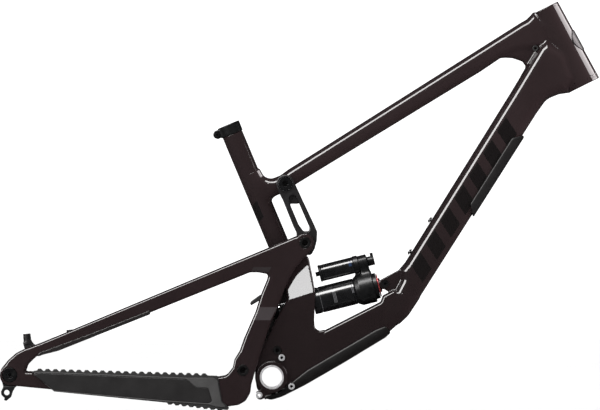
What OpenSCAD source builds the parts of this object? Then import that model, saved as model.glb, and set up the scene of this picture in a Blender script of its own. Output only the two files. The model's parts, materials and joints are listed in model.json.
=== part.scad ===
// Full-suspension mountain bike frame.
// X runs forward, Z up and Y to the left side; the origin is the middle of the bottom bracket shell.

/* [Front triangle] */
// Width of the bottom bracket shell
bb_shell_w = 73; // [68:1:83]
// Radius of the bottom bracket thread
bb_bore_r = 17.2; // [17:0.1:17.6]
// Outer radius of the bottom bracket sleeve
bb_sleeve_r = 20.2; // [19.5:0.1:21]
// Length of the head tube
head_len = 147; // [140:1:150]
// Radius of the upper headset bearing seat
upper_seat_r = 20.9; // [20.5:0.05:21.5]
// Radius of the lower headset bearing seat
lower_seat_r = 26.05; // [25.5:0.05:26.3]
// Radius of the seat post bore
seat_bore_r = 15.8; // [15.4:0.1:16]
// Outer radius of the seat tube
seat_tube_r = 17.8; // [17.5:0.1:18.4]
// Width of the down tube
down_tube_w = 60; // [52:1:62]
// Width of the top tube
top_tube_w = 40; // [34:1:44]
// Half width of the walls round the shock tunnel
wall_out = 29; // [28:0.5:29.5]
// Half width of the shock tunnel
wall_in = 22.5; // [22:0.5:23]

/* [Rear end] */
// Width between the dropouts
hub_w = 148; // [142:1:157]
// Radius of the rear axle
axle_r = 6; // [5:0.5:6]
// Half the gap between the two legs of the swingarm
leg_in = 31; // [30.5:0.5:32]
// Thickness of a swingarm leg at the pivots
leg_t = 12; // [10:1:13]

/* [Links] */
// Radius of the turning axles of the links
pivot_r = 8; // [7:0.5:8.5]
// Radial play in a turning joint
play = 0.03; // [0.02:0.01:0.08]
// Outer radius of the link bearings
bearing_r = 12; // [11.5:0.5:12.5]
// Inner face of the upper link's ears
ear_in = 20; // [19.5:0.5:20.5]
// Outer face of the upper link's ears
ear_out = 27.5; // [26:0.5:28]

/* [Shock] */
// Distance between the eyes with the shock extended
shock_len = 210; // [208:1:212]
// Radius of the air can
can_r = 21.7; // [21:0.1:22]
// Radius of the shock head
shock_head_r = 26.5; // [25.5:0.5:27]
// Radius of the reservoir
reservoir_r = 14; // [13:0.5:15]
// Radius of the shock shaft
shaft_r = 10; // [9:0.5:11]

/* [Hidden] */
$fn = 64;

// Pivots and other axes that run across the frame, as [X, Z]
link_frame_pivot = [22.8, 327.2];
link_stay_pivot = [56.1, 227.3];
lower_frame_pivot = [9.3, 45.3];
lower_stay_pivot = [-48.8, 11.7];
shock_front_eye = [191.5, 157.7];
shock_angle = 194;
hub_axis = [-441.9, 4.4];
hanger_hole = [-447, -25.4];

// Head tube, seat tube and down tube lines
head_base = [528.7, 493.6];
head_angle = 116.55;
head_r_low = 28.7;
head_r_top = 23.5;
seat_top = [-66.8, 410.8];
seat_angle = 112.8;
clamp_len = 18;
clamp_r = 16.9;
collar_r = 19.2;
down_mid = [300, 264];
down_angle = 57.6;
down_face_angle = 57.6557;
top_mid = [217, 452];
top_angle = 32;
keel_mid = [115, 53];
keel_angle = 29.5;

// Parts of the swingarm
arm_front_x = -62;
arm_rear_x = -400;
arm_steps = 12;
hub_half = hub_w / 2;
dropout_out = hub_half + 10;

// Places along the shock, counted from its front eye
head_start = 20;
head_end = 44;
can_start = 52;
can_end = 126;
can_bore_r = 18;
reservoir_up = 43.5;
reservoir_start = 35;
reservoir_end = 104;
shaft_start = 96;
rear_eye_r = 13;

// ---- helpers -------------------------------------------------------------------------------

// Extrudes a side-view outline across the frame, from y0 to y1
module side_slab(y0, y1) {
    translate([0, y1, 0]) rotate([90, 0, 0]) linear_extrude(height = y1 - y0) children();
}

// The children, and their mirror image on the other side of the frame
module both_sides() {
    children();
    mirror([0, 1, 0]) children();
}

// A round bar across the frame
module cross_bar(p, r, y0, y1) {
    translate([p[0], y1, p[1]]) rotate([90, 0, 0]) cylinder(r = r, h = y1 - y0);
}

// A ring across the frame
module cross_ring(p, r_out, r_in, y0, y1) {
    difference() {
        cross_bar(p, r_out, y0, y1);
        cross_bar(p, r_in, y0 - 1, y1 + 1);
    }
}

// A pivot axle across the frame, with a round recess in each end
module turned_axle(p, half, recess_r, recess) {
    difference() {
        cross_bar(p, pivot_r, -half, half);
        both_sides() cross_bar(p, recess_r, half - recess, half + 1);
    }
}

// Puts the children at p, with local Z along the side-view angle and local X to its underside
module in_line(p, angle) {
    translate([p[0], 0, p[1]]) rotate([0, 90 - angle, 0]) children();
}

// Section of a tube: depth along local X, width along Y, with round corners
module tube_section(depth, width, r) {
    square([depth - 2 * r, width], center = true);
    square([depth, width - 2 * r], center = true);
    for (sx = [-1, 1], sy = [-1, 1])
        translate([sx * (depth / 2 - r), sy * (width / 2 - r)]) circle(r);
}

// A straight bar in the side view from p to q, with its half width at each end
function side_step(p, q, r) = r * [p[1] - q[1], q[0] - p[0]] / norm(q - p);
module waist(p, q, rp, rq) {
    polygon([p + side_step(p, q, rp), q + side_step(p, q, rq), q - side_step(p, q, rq),
        p - side_step(p, q, rp)]);
}

// A straight tube through mid, as long on both sides of it
module tube(mid, angle, length, depth, width, r) {
    in_line(mid, angle) translate([0, 0, -length / 2])
        linear_extrude(height = length) tube_section(depth, width, r);
}

// The shock's own frame: local Z runs from the front eye to the rear eye, local X points up
module on_shock() {
    in_line(shock_front_eye, shock_angle) children();
}

// A bar across the shock at a distance along it
module shock_cross_bar(along, r, half_w) {
    translate([0, half_w, along]) rotate([90, 0, 0]) cylinder(r = r, h = 2 * half_w);
}

// ---- front triangle ------------------------------------------------------------------------

module head_tube_body() {
    in_line(head_base, head_angle) cylinder(r1 = head_r_low, r2 = head_r_top, h = head_len);
}

module head_tube_bores() {
    lower_seat_h = 10;
    upper_seat_h = 8;
    in_line(head_base, head_angle) {
        translate([0, 0, -1]) cylinder(r = lower_seat_r, h = lower_seat_h + 1);
        cylinder(r1 = 23.5, r2 = 18.8, h = head_len);
        translate([0, 0, head_len - upper_seat_h]) cylinder(r = upper_seat_r, h = upper_seat_h + 1);
    }
}

module top_tube_body() {
    intersection() {
        tube(top_mid, top_angle, 560, 38, top_tube_w, 12);
        side_slab(-30, 30) polygon([[-14, 336], [-2, 334.5], [15, 342], [28, 351], [82.3, 384.6],
            [420.3, 598.3], [430, 604.4], [455, 596], [470, 560], [450, 545], [407, 537.5],
            [387, 539.5], [352.7, 517.6], [217.5, 435.2], [82.3, 352.4], [41.7, 327.5], [24, 314],
            [12, 309.5], [3, 301], [-20, 320]]);
    }
}

module down_tube_body() {
    intersection() {
        tube(down_mid, down_angle, 640, 56, down_tube_w, 15);
        side_slab(-32, 32) polygon([[187, 137], [206, 147], [216, 164], [216, 181.5],
            [406.8, 482.8], [418.6, 501.4], [430.6, 524.2], [440, 570], [500, 560], [520, 500],
            [501.4, 480.6], [487.9, 478.4], [474.4, 473.4], [460.9, 464.2], [447.3, 445.1],
            [440.2, 433.8], [258, 147], [244.5, 125.9], [231, 106], [217, 91], [180, 100]]);
    }
}

module head_junction() {
    side_slab(-22, 22) polygon([[380, 535], [407, 537.5], [422.8, 532.7], [430.6, 524.2],
        [418.6, 501.4], [447.3, 450], [460.9, 464.2], [474.4, 473.4], [487.9, 478.4],
        [501.4, 480.6], [510, 496], [497, 530], [455, 616], [441.2, 613.4], [431, 605],
        [420.3, 598.3]]);
}

module seat_tube_body() {
    in_line(seat_top, seat_angle) {
        translate([0, 0, -215]) cylinder(r = seat_tube_r, h = 215);
        translate([0, 0, -1]) cylinder(r = clamp_r, h = clamp_len + 1);
    }
}

module seat_junction() {
    side_slab(-18.5, 18.5) polygon([[-34, 378], [-22.8, 352.7], [-14, 339], [-2, 334.5], [15, 342],
        [60, 371], [60, 339], [41.7, 327.5], [24, 314], [12, 309.5], [4, 301], [-10, 300]]);
}

// The deep lower part that carries the bottom bracket and the shock tunnel
module keel_body() {
    intersection() {
        tube(keel_mid, keel_angle, 330, 78, 64, 16);
        side_slab(-33, 33) polygon([[-20, 30], [50, 62], [87.5, 77.9], [186, 128.6], [187, 137],
            [206, 147], [236, 140], [256, 144], [244.5, 125.9], [231, 106], [217.5, 91],
            [190.5, 69], [122.9, 28], [55.3, -11], [14.7, -31.5], [1.2, -35], [-12.3, -33],
            [-24, -22], [-27, -12.3]]);
    }
    cross_bar([0, 0], 26.5, -bb_shell_w / 2, bb_shell_w / 2);
}

module tunnel_walls() {
    side_slab(-wall_out, wall_out) polygon([[-10.6, 231], [28.4, 231], [45, 214], [62.7, 202.5],
        [73, 148], [71.8, 94], [75, 84], [87.5, 77.9], [60, 10], [1.2, -30], [-12.3, -30],
        [-24, -22], [-27, -12.3], [-28.4, -1.4], [-26.7, 29.1], [-13.2, 54.4], [5.4, 96.7],
        [18.9, 130.5], [20.6, 147.4], [16, 167]]);
}

module tunnel_void() {
    side_slab(-wall_in, wall_in) polygon([[-70, -14.5], [-13, 18.7], [-4, 24.6], [20, 24.6],
        [33, 36], [56, 91], [92, 96], [92, 160], [-70, 160]]);
}

module shock_bracket() {
    both_sides() side_slab(12, 20) {
        translate(shock_front_eye) circle(9.5);
        polygon([[182.5, 161], [188, 166.5], [216, 181.5], [230, 190], [226, 150], [204, 140],
            [196, 149.5]]);
    }
}

module iscg_tab() {
    side_slab(-34.5, -28) {
        translate(iscg_holes[2]) circle(8);
        waist([0, 0], iscg_holes[2], 16, 7);
    }
}

module front_triangle() {
    color([0.17, 0.13, 0.13]) difference() {
        union() {
            head_tube_body();
            top_tube_body();
            head_junction();
            seat_tube_body();
            seat_junction();
            difference() {
                union() {
                    down_tube_body();
                    keel_body();
                    tunnel_walls();
                }
                tunnel_void();
                on_shock() translate([0, 0, 7.5]) cylinder(r = 24.5, h = 50);
            }
            shock_bracket();
            iscg_tab();
        }
        head_tube_bores();
        in_line(seat_top, seat_angle) {
            translate([0, 0, -200]) cylinder(r = seat_bore_r, h = 240);
            translate([-20, -1.5, -14]) cube([20, 3, 50]);
        }
        cross_bar([0, 0], bb_sleeve_r, -40, 40);
        cross_bar(link_frame_pivot, pivot_r, -30, 30);
        cross_bar(lower_frame_pivot, 7, -40, 40);
        cross_bar(shock_front_eye, 4, -30, 30);
        for (p = iscg_holes) cross_bar(p, iscg_insert_r, -40, -22);
        for (d = bottle_places) in_line(down_top(d), down_face_angle + 90)
            translate([0, 0, -16]) cylinder(r = 2.5, h = 30);
        for (s = [-1, 1]) cable_port(s, 5);
    }
}

// A point on the down tube's upper face, at a distance above the shock bracket
function down_top(d) = [216 + d * cos(down_face_angle), 181.5 + d * sin(down_face_angle)];
bottle_places = [35, 99];

iscg_insert_r = 5.5;
iscg_holes = [[16.8, 32.9], [33.4, -15.7], [-21.3, -30.3]];

module cable_port(side, r) {
    translate([446, side * 14, 556]) rotate([side * -90, 0, 0]) cylinder(r = r, h = 16);
}

module bb_shell_sleeve() {
    color([0.72, 0.72, 0.74])
        cross_ring([0, 0], bb_sleeve_r, bb_bore_r, -bb_shell_w / 2, bb_shell_w / 2);
}

module iscg_inserts() {
    color([0.75, 0.75, 0.76])
        for (p = iscg_holes) cross_ring(p, iscg_insert_r, 2.5, -35.2, -24);
}

module head_badge() {
    badge_h = 34;
    color([0.35, 0.33, 0.34]) difference() {
        in_line(head_base, head_angle) translate([0, 0, 56]) rotate([0, 0, -24])
            rotate_extrude(angle = 48) translate([20, 0]) square([8.2, badge_h]);
        head_tube_body();
    }
}

module seat_collar() {
    lug_x = -24;
    color([0.1, 0.1, 0.11]) in_line(seat_top, seat_angle) rotate([0, 0, 180]) difference() {
        union() {
            translate([0, 0, 0.2]) cylinder(r = collar_r, h = clamp_len - 0.4);
            translate([-lug_x, 11, clamp_len / 2]) rotate([90, 0, 0]) cylinder(r = 6.5, h = 22);
            translate([12, -11, 2.5]) cube([12, 22, 13]);
        }
        translate([0, 0, -1]) cylinder(r = clamp_r, h = clamp_len + 2);
        translate([10, -1.5, -1]) cube([30, 3, clamp_len + 2]);
        translate([-lug_x, 20, clamp_len / 2]) rotate([90, 0, 0]) cylinder(r = 2.6, h = 40);
        translate([-lug_x, 20, clamp_len / 2]) rotate([90, 0, 0]) cylinder(r = 4.6, h = 12);
        translate([-lug_x, -8, clamp_len / 2]) rotate([90, 0, 0]) cylinder(r = 4.6, h = 12);
    }
}

// Puts the children on the collar's bolt, with local Z to the right side of the frame
module on_collar_bolt() {
    in_line(seat_top, seat_angle) translate([-24, 0, clamp_len / 2]) rotate([90, 0, 0]) children();
}

module collar_bolt() {
    color([0.08, 0.08, 0.09]) on_collar_bolt() difference() {
        union() {
            translate([0, 0, -8]) cylinder(r = 2.5, h = 16.5);
            translate([0, 0, 8]) cylinder(r = 4.5, h = 4.5);
        }
        translate([0, 0, 10]) cylinder(r = 2.2, h = 4, $fn = 6);
    }
}

module collar_nut() {
    color([0.1, 0.1, 0.11]) on_collar_bolt() difference() {
        translate([0, 0, -11.5]) cylinder(r = 4.5, h = 3.4);
        translate([0, 0, -12]) cylinder(r = 2.2, h = 4, $fn = 6);
    }
}

module bottle_bolts() {
    color([0.1, 0.1, 0.11]) for (d = bottle_places)
        in_line(down_top(d), down_face_angle + 90) difference() {
            union() {
                translate([0, 0, -12]) cylinder(r = 2.5, h = 13);
                cylinder(r = 5.5, h = 1.2);
                translate([0, 0, 1.2]) cylinder(r1 = 4.8, r2 = 3.6, h = 2.6);
            }
            translate([0, 0, 2]) cylinder(r = 1.8, h = 3, $fn = 6);
        }
}

module down_tube_guard() {
    color([0.16, 0.16, 0.17]) difference() {
        side_slab(-35, 35) polygon([[-13, -33.5], [1.2, -38.2], [14.7, -35.2], [55.3, -14.2],
            [122.9, 24.8], [190.5, 66.4], [199, 74], [192, 86], [176, 80], [111, 42], [60, 12],
            [30, -12], [5, -29]]);
        keel_body();
        down_tube_body();
        tunnel_walls();
        side_slab(-40, 40) polygon([[-30, -36], [-14, -26], [60, 22], [60, 60], [-30, 60]]);
        for (p = iscg_holes) cross_bar(p, iscg_insert_r + 0.5, -40, -22);
    }
}

module shuttle_guard() {
    color([0.16, 0.16, 0.17]) difference() {
        side_slab(-26, 26) polygon([[341, 274], [348, 278], [428, 403], [424.5, 409], [406, 404],
            [336, 293]]);
        down_tube_body();
    }
}

module shock_front_bolt() {
    color([0.12, 0.12, 0.13]) difference() {
        union() {
            cross_bar(shock_front_eye, 4, -20, 24);
            cross_bar(shock_front_eye, 6.5, -22.5, -20);
        }
        cross_bar(shock_front_eye, 2.4, -24, -18.5, $fn = 64);
    }
}

module shock_front_nut() {
    color([0.12, 0.12, 0.13]) cross_ring(shock_front_eye, 6.5, 4, 20, 24);
}

module upper_link_axle() {
    color([0.25, 0.25, 0.26]) turned_axle(link_frame_pivot, ear_out, 4.5, 5);
}

module upper_link_axle_caps() {
    color([0.1, 0.1, 0.11]) both_sides() difference() {
        cross_bar(link_frame_pivot, 11.8, ear_out + 0.4, ear_out + 2.4);
        cross_bar(link_frame_pivot, 5, ear_out, ear_out + 3);
    }
    color([0.1, 0.1, 0.11]) both_sides()
        cross_ring(link_frame_pivot, pivot_r, 5, ear_out, ear_out + 0.4);
}

module lower_link_axle() {
    color([0.2, 0.2, 0.21]) {
        cross_bar(lower_frame_pivot, 4, -wall_in, wall_out + 1);
        cross_ring(lower_frame_pivot, 7, 3.5, -wall_out - 1, -wall_in);
    }
}

module lower_link_axle_nut() {
    color([0.2, 0.2, 0.21]) cross_ring(lower_frame_pivot, 7, 4, wall_in, wall_out + 1);
}

module cable_port_grommets() {
    color([0.08, 0.08, 0.08]) for (s = [-1, 1]) difference() {
        intersection() {
            cable_port(s, 5);
            side_slab(-23.2, 23.2) polygon([[430, 540], [462, 540], [462, 572], [430, 572]]);
        }
        translate([446, 0, 556]) rotate([90, 0, 0]) cylinder(r = 2.4, h = 80, center = true);
    }
}

// ---- upper link ----------------------------------------------------------------------------

module link_outline() {
    difference() {
        union() {
            translate(link_frame_pivot) circle(15);
            translate(link_stay_pivot) circle(16.4);
            polygon([[9, 321], [18.9, 298.6], [36, 256], [41.6, 244.4], [42, 232], [56, 208.6], [66.6, 206],
                [72.3, 217.5], [75.8, 231], [76.4, 244.5], [70.6, 258.1], [52.4, 298.6],
                [37.7, 328]]);
        }
        polygon([[30, 296], [44.5, 296.5], [62.8, 256], [65, 247], [52, 246.5], [44, 258]]);
    }
}

module upper_link() {
    color([0.1, 0.095, 0.1]) difference() {
        union() {
            both_sides() side_slab(ear_in, ear_out) link_outline();
            side_slab(-ear_in - 1, ear_in + 1) polygon([[24, 296], [29, 309], [36, 309.5],
                [43.5, 297]]);
        }
        for (p = [link_frame_pivot, link_stay_pivot]) cross_bar(p, bearing_r, -40, 40);
    }
}

module link_bearings(p) {
    color([0.6, 0.6, 0.62]) both_sides()
        cross_ring(p, bearing_r, pivot_r + play, ear_in + 0.3, ear_out - 0.3);
}

module upper_link_frame_bearings() link_bearings(link_frame_pivot);

module upper_link_stay_bearings() link_bearings(link_stay_pivot);

// ---- swingarm ------------------------------------------------------------------------------

// Inner face of the arm as a share of the flare: the arm opens fast round the tyre, then slowly
function flare(x) = x > arm_front_x ? 0 : x < arm_rear_x ? 1
    : pow((arm_front_x - x) / (arm_front_x - arm_rear_x), 0.62);
function arm_in(x) = leg_in + (hub_half - leg_in) * flare(x);
function arm_out(x) = arm_in(x) + leg_t + (10 - leg_t) * flare(x);
arm_xs = [for (i = [0:arm_steps])
    arm_front_x + (arm_rear_x - arm_front_x) * pow(i / arm_steps, 1.6)];

// The left arm seen from above
module arm_plan() {
    polygon(concat([[100, leg_in]], [for (x = arm_xs) [x, arm_in(x)]], [[-470, hub_half]],
        [[-470, dropout_out]], [for (i = [arm_steps:-1:0]) [arm_xs[i], arm_out(arm_xs[i])]],
        [[100, leg_in + leg_t]]));
}

// The arm seen from the side, with the window between the stays
module arm_outline() {
    difference() {
        union() {
            polygon([[-458.3, 1.2], [-456, 15], [-445, 29], [-431.5, 41], [-417.9, 48],
                [-390.9, 58.6], [-12.3, 216], [50, 241.6], [71, 231], [68.6, 214.5],
                [39.5, 183.2], [33, 171.4], [22.2, 148.7], [10.4, 118.5], [-3.7, 85.1],
                [-28.6, 10], [-34, -12], [-36.5, -27], [-44, -39.5], [-54, -45.5], [-66, -49],
                [-79.9, -51.5], [-120.5, -48], [-188, -39], [-323, -25], [-431.5, -15.5],
                [-445, -13], [-454, -7]]);
            translate(hub_axis) circle(16.4);
            translate(link_stay_pivot) circle(15.5);
        }
        polygon([[-416.5, 11], [-412.5, 21], [-403, 31], [-396, 37], [-363.9, 46], [-52.9, 171],
            [-37, 177], [-23, 176.7], [-10, 175], [-5, 171], [-8, 165], [-18.7, 139],
            [-27.4, 111], [-44.6, 71.3], [-57.9, 34], [-66, 14], [-80, 2], [-120, 0],
            [-370, 7.5], [-405, 8.5]]);
    }
}

module arm(side) {
    mirror([0, side < 0 ? 1 : 0, 0]) intersection() {
        side_slab(leg_in - 4, dropout_out + 4) arm_outline();
        translate([0, 0, -100]) linear_extrude(height = 400) arm_plan();
    }
}

module arm_bridges() {
    side_slab(-leg_in - 3, leg_in + 3)
        polygon([[-86, 160], [-60, 170.5], [-53, 174], [-53, 194], [-62, 193], [-86, 183]]);
    side_slab(-leg_in - 3, leg_in + 3)
        polygon([[-66, -46], [-47, -40], [-44, -30], [-48, -22], [-58, -21], [-66, -26]]);
}

module swingarm() {
    color([0.17, 0.13, 0.13]) difference() {
        union() {
            arm(1);
            arm(-1);
            arm_bridges();
            both_sides() cross_bar(link_stay_pivot, 13, ear_out + 0.8, leg_in + 1);
        }
        for (p = [link_stay_pivot, lower_stay_pivot]) cross_bar(p, pivot_r, -60, 60);
        cross_bar(hub_axis, hanger_sleeve_r, -100, 0);
        cross_bar(hub_axis, 16.5, -hub_half - 5, 0);
        side_slab(-hub_half - 5, -hub_half + 1) hanger_outline(0.3);
        cross_bar(hub_axis, axle_r + play, 0, 100);
        on_posts() translate([0, 0, -post_len - 0.3]) cylinder(r = post_r + 0.3, h = 40);
    }
}

hanger_sleeve_r = 9;

module hanger_outline(gap) {
    translate(hub_axis) circle(16 + gap);
    polygon([[-453 - gap, -6], [-453 - gap, -16], [-457 - gap, -24], [-456 - gap, -30],
        [-450 - gap, -35], [-452, -38], [-448, -39.5], [-439.5 + gap, -33], [-437 + gap, -24],
        [-433 + gap, -17], [-428 + gap, -13], [-428 + gap, -6]]);
}

module derailleur_hanger() {
    color([0.09, 0.09, 0.1]) difference() {
        union() {
            side_slab(-hub_half - 5, -hub_half) hanger_outline(0);
            side_slab(-hub_half - 8, -hub_half) intersection() {
                hanger_outline(0);
                translate([-470, -60]) square([60, 43]);
            }
        }
        cross_bar(hub_axis, hanger_sleeve_r - 1.5, -100, 0);
        cross_bar(hanger_hole, 4.5, -100, 0);
    }
}

module hanger_bolt() {
    color([0.12, 0.12, 0.13]) difference() {
        union() {
            cross_bar(hub_axis, hanger_sleeve_r - 1.5, -dropout_out, -hub_half);
            cross_bar(hub_axis, 12, -dropout_out - 1.8, -dropout_out);
        }
        cross_bar(hub_axis, axle_r + play, -100, 0);
    }
}

// Upper and lower edge of the chainstay pad at x
function pad_top(x) = 11.2 - 0.03 * (x + 380);
function pad_bottom(x) = -43.5 - 0.125 * (x + 180);
function pad_tooth(x) = [[x - 6, pad_top(x - 6)], [x - 3.5, pad_top(x) + 3.4],
    [x + 1, pad_top(x) + 3.6], [x + 5, pad_top(x + 5)]];
function pad_rib(x) = [[x + 5, pad_bottom(x + 5)], [x + 2.5, pad_bottom(x) - 2.6],
    [x - 2.5, pad_bottom(x) - 2.6], [x - 5, pad_bottom(x - 5)]];

module chainstay_pad_outline() {
    tooth_pitch = 13.2;
    rib_pitch = 12;
    polygon(concat([[-407, 9], [-400, 11.5]],
        [for (i = [0:21]) each pad_tooth(-390.5 + tooth_pitch * i)],
        [[-91, 2.6], [-90, -3.3], [-83.3, -41.4], [-72, -51], [-74, -55.5]],
        [for (i = [7:-1:0]) each pad_rib(-172 + rib_pitch * i)],
        [[-180, -43.5], [-369, -24.5], [-369, -17], [-401, 7]]));
}

module chainstay_protector() {
    color([0.2, 0.2, 0.21]) difference() {
        intersection() {
            side_slab(-dropout_out - 4, -leg_in) chainstay_pad_outline();
            translate([0, 0, -100]) linear_extrude(height = 200) mirror([0, 1])
                polygon(concat([for (x = arm_xs) [x, arm_in(x) + 1]],
                    [for (i = [arm_steps:-1:0]) [arm_xs[i], arm_out(arm_xs[i]) + 2.2]]));
        }
        arm(-1);
    }
}

module seatstay_protector() {
    color([0.13, 0.12, 0.12]) difference() {
        intersection() {
            side_slab(-dropout_out - 4, -leg_in) polygon([[-397, 35.5], [-360, 45], [-205, 106.5],
                [-205, 113.5], [-300, 76], [-392, 42]]);
            translate([0, 0, -100]) linear_extrude(height = 300) mirror([0, 1])
                polygon(concat([for (x = arm_xs) [x, arm_in(x) + 1]],
                    [for (i = [arm_steps:-1:0]) [arm_xs[i], arm_out(arm_xs[i]) + 1.5]]));
        }
        arm(-1);
    }
}

module mud_flap() {
    color([0.1, 0.1, 0.1]) side_slab(-leg_in + 0.2, leg_in - 0.2)
        polygon([[-34, 122], [-36, 125], [-34, 128], [-20, 138.8], [-16.2, 138.8], [-18, 132]]);
}

module swingarm_upper_axle() {
    color([0.25, 0.25, 0.26]) turned_axle(link_stay_pivot, leg_in + leg_t, 5, 8);
}

module swingarm_lower_axle() {
    color([0.25, 0.25, 0.26]) turned_axle(lower_stay_pivot, leg_in + leg_t, 5, 8);
}

module swingarm_axle_caps() {
    color([0.12, 0.12, 0.13]) both_sides() for (p = [link_stay_pivot, lower_stay_pivot])
        cross_ring(p, 9.6, 5.5, leg_in + leg_t, leg_in + leg_t + 0.9);
}

// ---- brake mount ---------------------------------------------------------------------------

post_tilt = 5.3;
post_spacing = 74;
post_mid = [-379.5, 76];
post_y = hub_half + 5;
post_r = 6.5;
post_len = 18;

// Puts the children on the two brake posts, with local Z out of the posts
module on_posts() {
    for (s = [-1, 1]) translate([post_mid[0], post_y, post_mid[1]]) rotate([0, -post_tilt, 0])
        translate([s * post_spacing / 2, 0, 0]) children();
}

module brake_mount() {
    color([0.13, 0.13, 0.12]) difference() {
        union() {
            on_posts() translate([0, 0, -post_len]) cylinder(r = post_r, h = post_len);
            difference() {
                side_slab(post_y - 5, post_y + 5) polygon([[-423, 58], [-410, 62], [-404, 50],
                    [-350, 66], [-347, 74], [-336, 75], [-338, 62], [-352, 50], [-396, 34],
                    [-412, 36], [-420, 47]]);
                arm(1);
            }
        }
        on_posts() translate([0, 0, -14]) cylinder(r = 3.5, h = 20);
    }
}

module brake_mount_inserts() {
    color([0.5, 0.5, 0.5]) on_posts() translate([0, 0, -13.9]) difference() {
        cylinder(r = 3.5, h = 13.9);
        translate([0, 0, 1]) cylinder(r = 2.5, h = 20);
    }
}

// ---- lower link ----------------------------------------------------------------------------

shock_rear_eye = [shock_front_eye[0] + shock_len * cos(shock_angle),
    shock_front_eye[1] + shock_len * sin(shock_angle)];
link_half = 20.5;
fork_in = 14;
frame_boss_r = 16.5;
frame_bearing_r = 13;
frame_bearing_bore = 10;

module lower_link_outline() {
    translate(lower_frame_pivot) circle(frame_boss_r);
    translate(shock_rear_eye) circle(10);
    waist(lower_frame_pivot, lower_stay_pivot, 9, 9);
    waist(lower_frame_pivot, shock_rear_eye, 13, 8.5);
}

module lower_link() {
    color([0.15, 0.15, 0.16]) difference() {
        union() {
            side_slab(-link_half, link_half) lower_link_outline();
            cross_bar(lower_stay_pivot, 14, -leg_in + 0.6, leg_in - 0.6);
        }
        side_slab(-fork_in, fork_in) {
            translate(shock_rear_eye) circle(19);
            waist(shock_rear_eye, shock_rear_eye + [5, 30], 18, 26);
        }
        cross_bar(lower_stay_pivot, bearing_r - 1, -40, 40);
        cross_bar(lower_frame_pivot, frame_bearing_r, -40, 40);
        cross_bar(shock_rear_eye, 3.5, -40, 40);
    }
}

module lower_link_frame_bearings() {
    color([0.6, 0.6, 0.62]) both_sides()
        cross_ring(lower_frame_pivot, frame_bearing_r, frame_bearing_bore, 10, link_half - 0.5);
}

module lower_link_stay_bearings() {
    color([0.6, 0.6, 0.62]) both_sides()
        cross_ring(lower_stay_pivot, bearing_r - 1, pivot_r + play, 20, leg_in - 1);
}

module shock_rear_bolt() {
    color([0.12, 0.12, 0.13]) cross_bar(shock_rear_eye, 3.5, -link_half, link_half);
}

// ---- shock ---------------------------------------------------------------------------------

module shock_head() {
    neck_r = 12;
    color([0.06, 0.06, 0.065]) on_shock() difference() {
        union() {
            shock_cross_bar(0, 9, 11.5);
            translate([-8, -9, 0]) cube([16, 18, 13]);
            translate([0, 0, 7]) cylinder(r = neck_r, h = 14);
            translate([0, 0, 12.3]) cylinder(r = 22, h = 7);
            translate([0, 0, 19]) cylinder(r = shock_head_r, h = head_end - 19);
            translate([0, 0, head_end]) cylinder(r1 = shock_head_r, r2 = can_r, h = 8);
            translate([20, -11, head_start]) cube([32, 22, 15]);
            translate([reservoir_up, 0, head_start]) cylinder(r = 13, h = 15);
        }
        shock_cross_bar(0, 6.5, 30);
        translate([0, 0, 42]) cylinder(r = can_bore_r, h = 20);
    }
}

module shock_front_bushing() {
    color([0.5, 0.5, 0.5]) cross_ring(shock_front_eye, 6.5, 4 + play, -11.5, 11.5);
}

module air_can() {
    color([0.05, 0.05, 0.055]) on_shock() difference() {
        union() {
            translate([0, 0, can_start]) cylinder(r = can_r, h = 60);
            translate([0, 0, can_start + 60]) cylinder(r = can_r - 0.8, h = 2);
            translate([0, 0, can_start + 62]) cylinder(r = can_r, h = can_end - can_start - 62);
        }
        translate([0, 0, can_start - 1]) cylinder(r = can_bore_r, h = 90);
    }
}

module air_can_seal_head() {
    color([0.1, 0.1, 0.1]) on_shock() difference() {
        translate([0, 0, can_end - 8]) cylinder(r = can_bore_r, h = 7.5);
        translate([0, 0, can_end - 9]) cylinder(r = shaft_r + play, h = 12);
    }
}

module reservoir() {
    color([0.05, 0.05, 0.055]) on_shock() translate([reservoir_up, 0, 0]) {
        translate([0, 0, reservoir_start]) cylinder(r = reservoir_r, h = 64);
        translate([0, 0, reservoir_start]) cylinder(r = reservoir_r + 0.8, h = 9);
    }
}

module reservoir_cap() {
    color([0.09, 0.09, 0.1]) on_shock() translate([reservoir_up, 0, reservoir_start + 64])
        difference() {
            cylinder(r = reservoir_r + 0.6, h = 5);
            translate([0, 0, 3]) cylinder(r = 3.8, h = 4);
        }
}

module air_valve() {
    color([0.15, 0.15, 0.16]) on_shock() translate([reservoir_up, 0, reservoir_start + 67])
        cylinder(r = 3.8, h = 8);
}

module shock_shaft() {
    color([0.62, 0.62, 0.64]) on_shock()
        translate([0, 0, shaft_start]) cylinder(r = shaft_r, h = shock_len - 11 - shaft_start);
}

module shock_piston() {
    color([0.4, 0.4, 0.42]) on_shock() difference() {
        translate([0, 0, shaft_start]) cylinder(r = can_bore_r - play, h = 10);
        translate([0, 0, shaft_start - 1]) cylinder(r = shaft_r, h = 20);
    }
}

module shock_rear_eyelet() {
    color([0.1, 0.1, 0.11]) on_shock() difference() {
        union() {
            shock_cross_bar(shock_len, rear_eye_r, 13);
            translate([0, 0, shock_len - 24]) cylinder(r = 12, h = 15);
        }
        shock_cross_bar(shock_len, 9, 20);
        translate([0, 0, shock_len - 40]) cylinder(r = shaft_r, h = 29);
    }
}

// The ring waits beside the rear eye, past the end of the stroke
module sag_ring() {
    color([0.05, 0.05, 0.05]) on_shock() translate([0, 0, shock_len - 29])
        rotate_extrude() translate([shaft_r + 1.2, 0]) circle(1.2, $fn = 24);
}

module compression_lever() {
    color([0.08, 0.08, 0.09]) on_shock() translate([reservoir_up, 0, 0]) {
        translate([0, 0, 8]) cylinder(r = 8, h = 11.6);
        translate([0, -3.5, 8]) cube([13, 7, 5]);
    }
}

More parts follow.
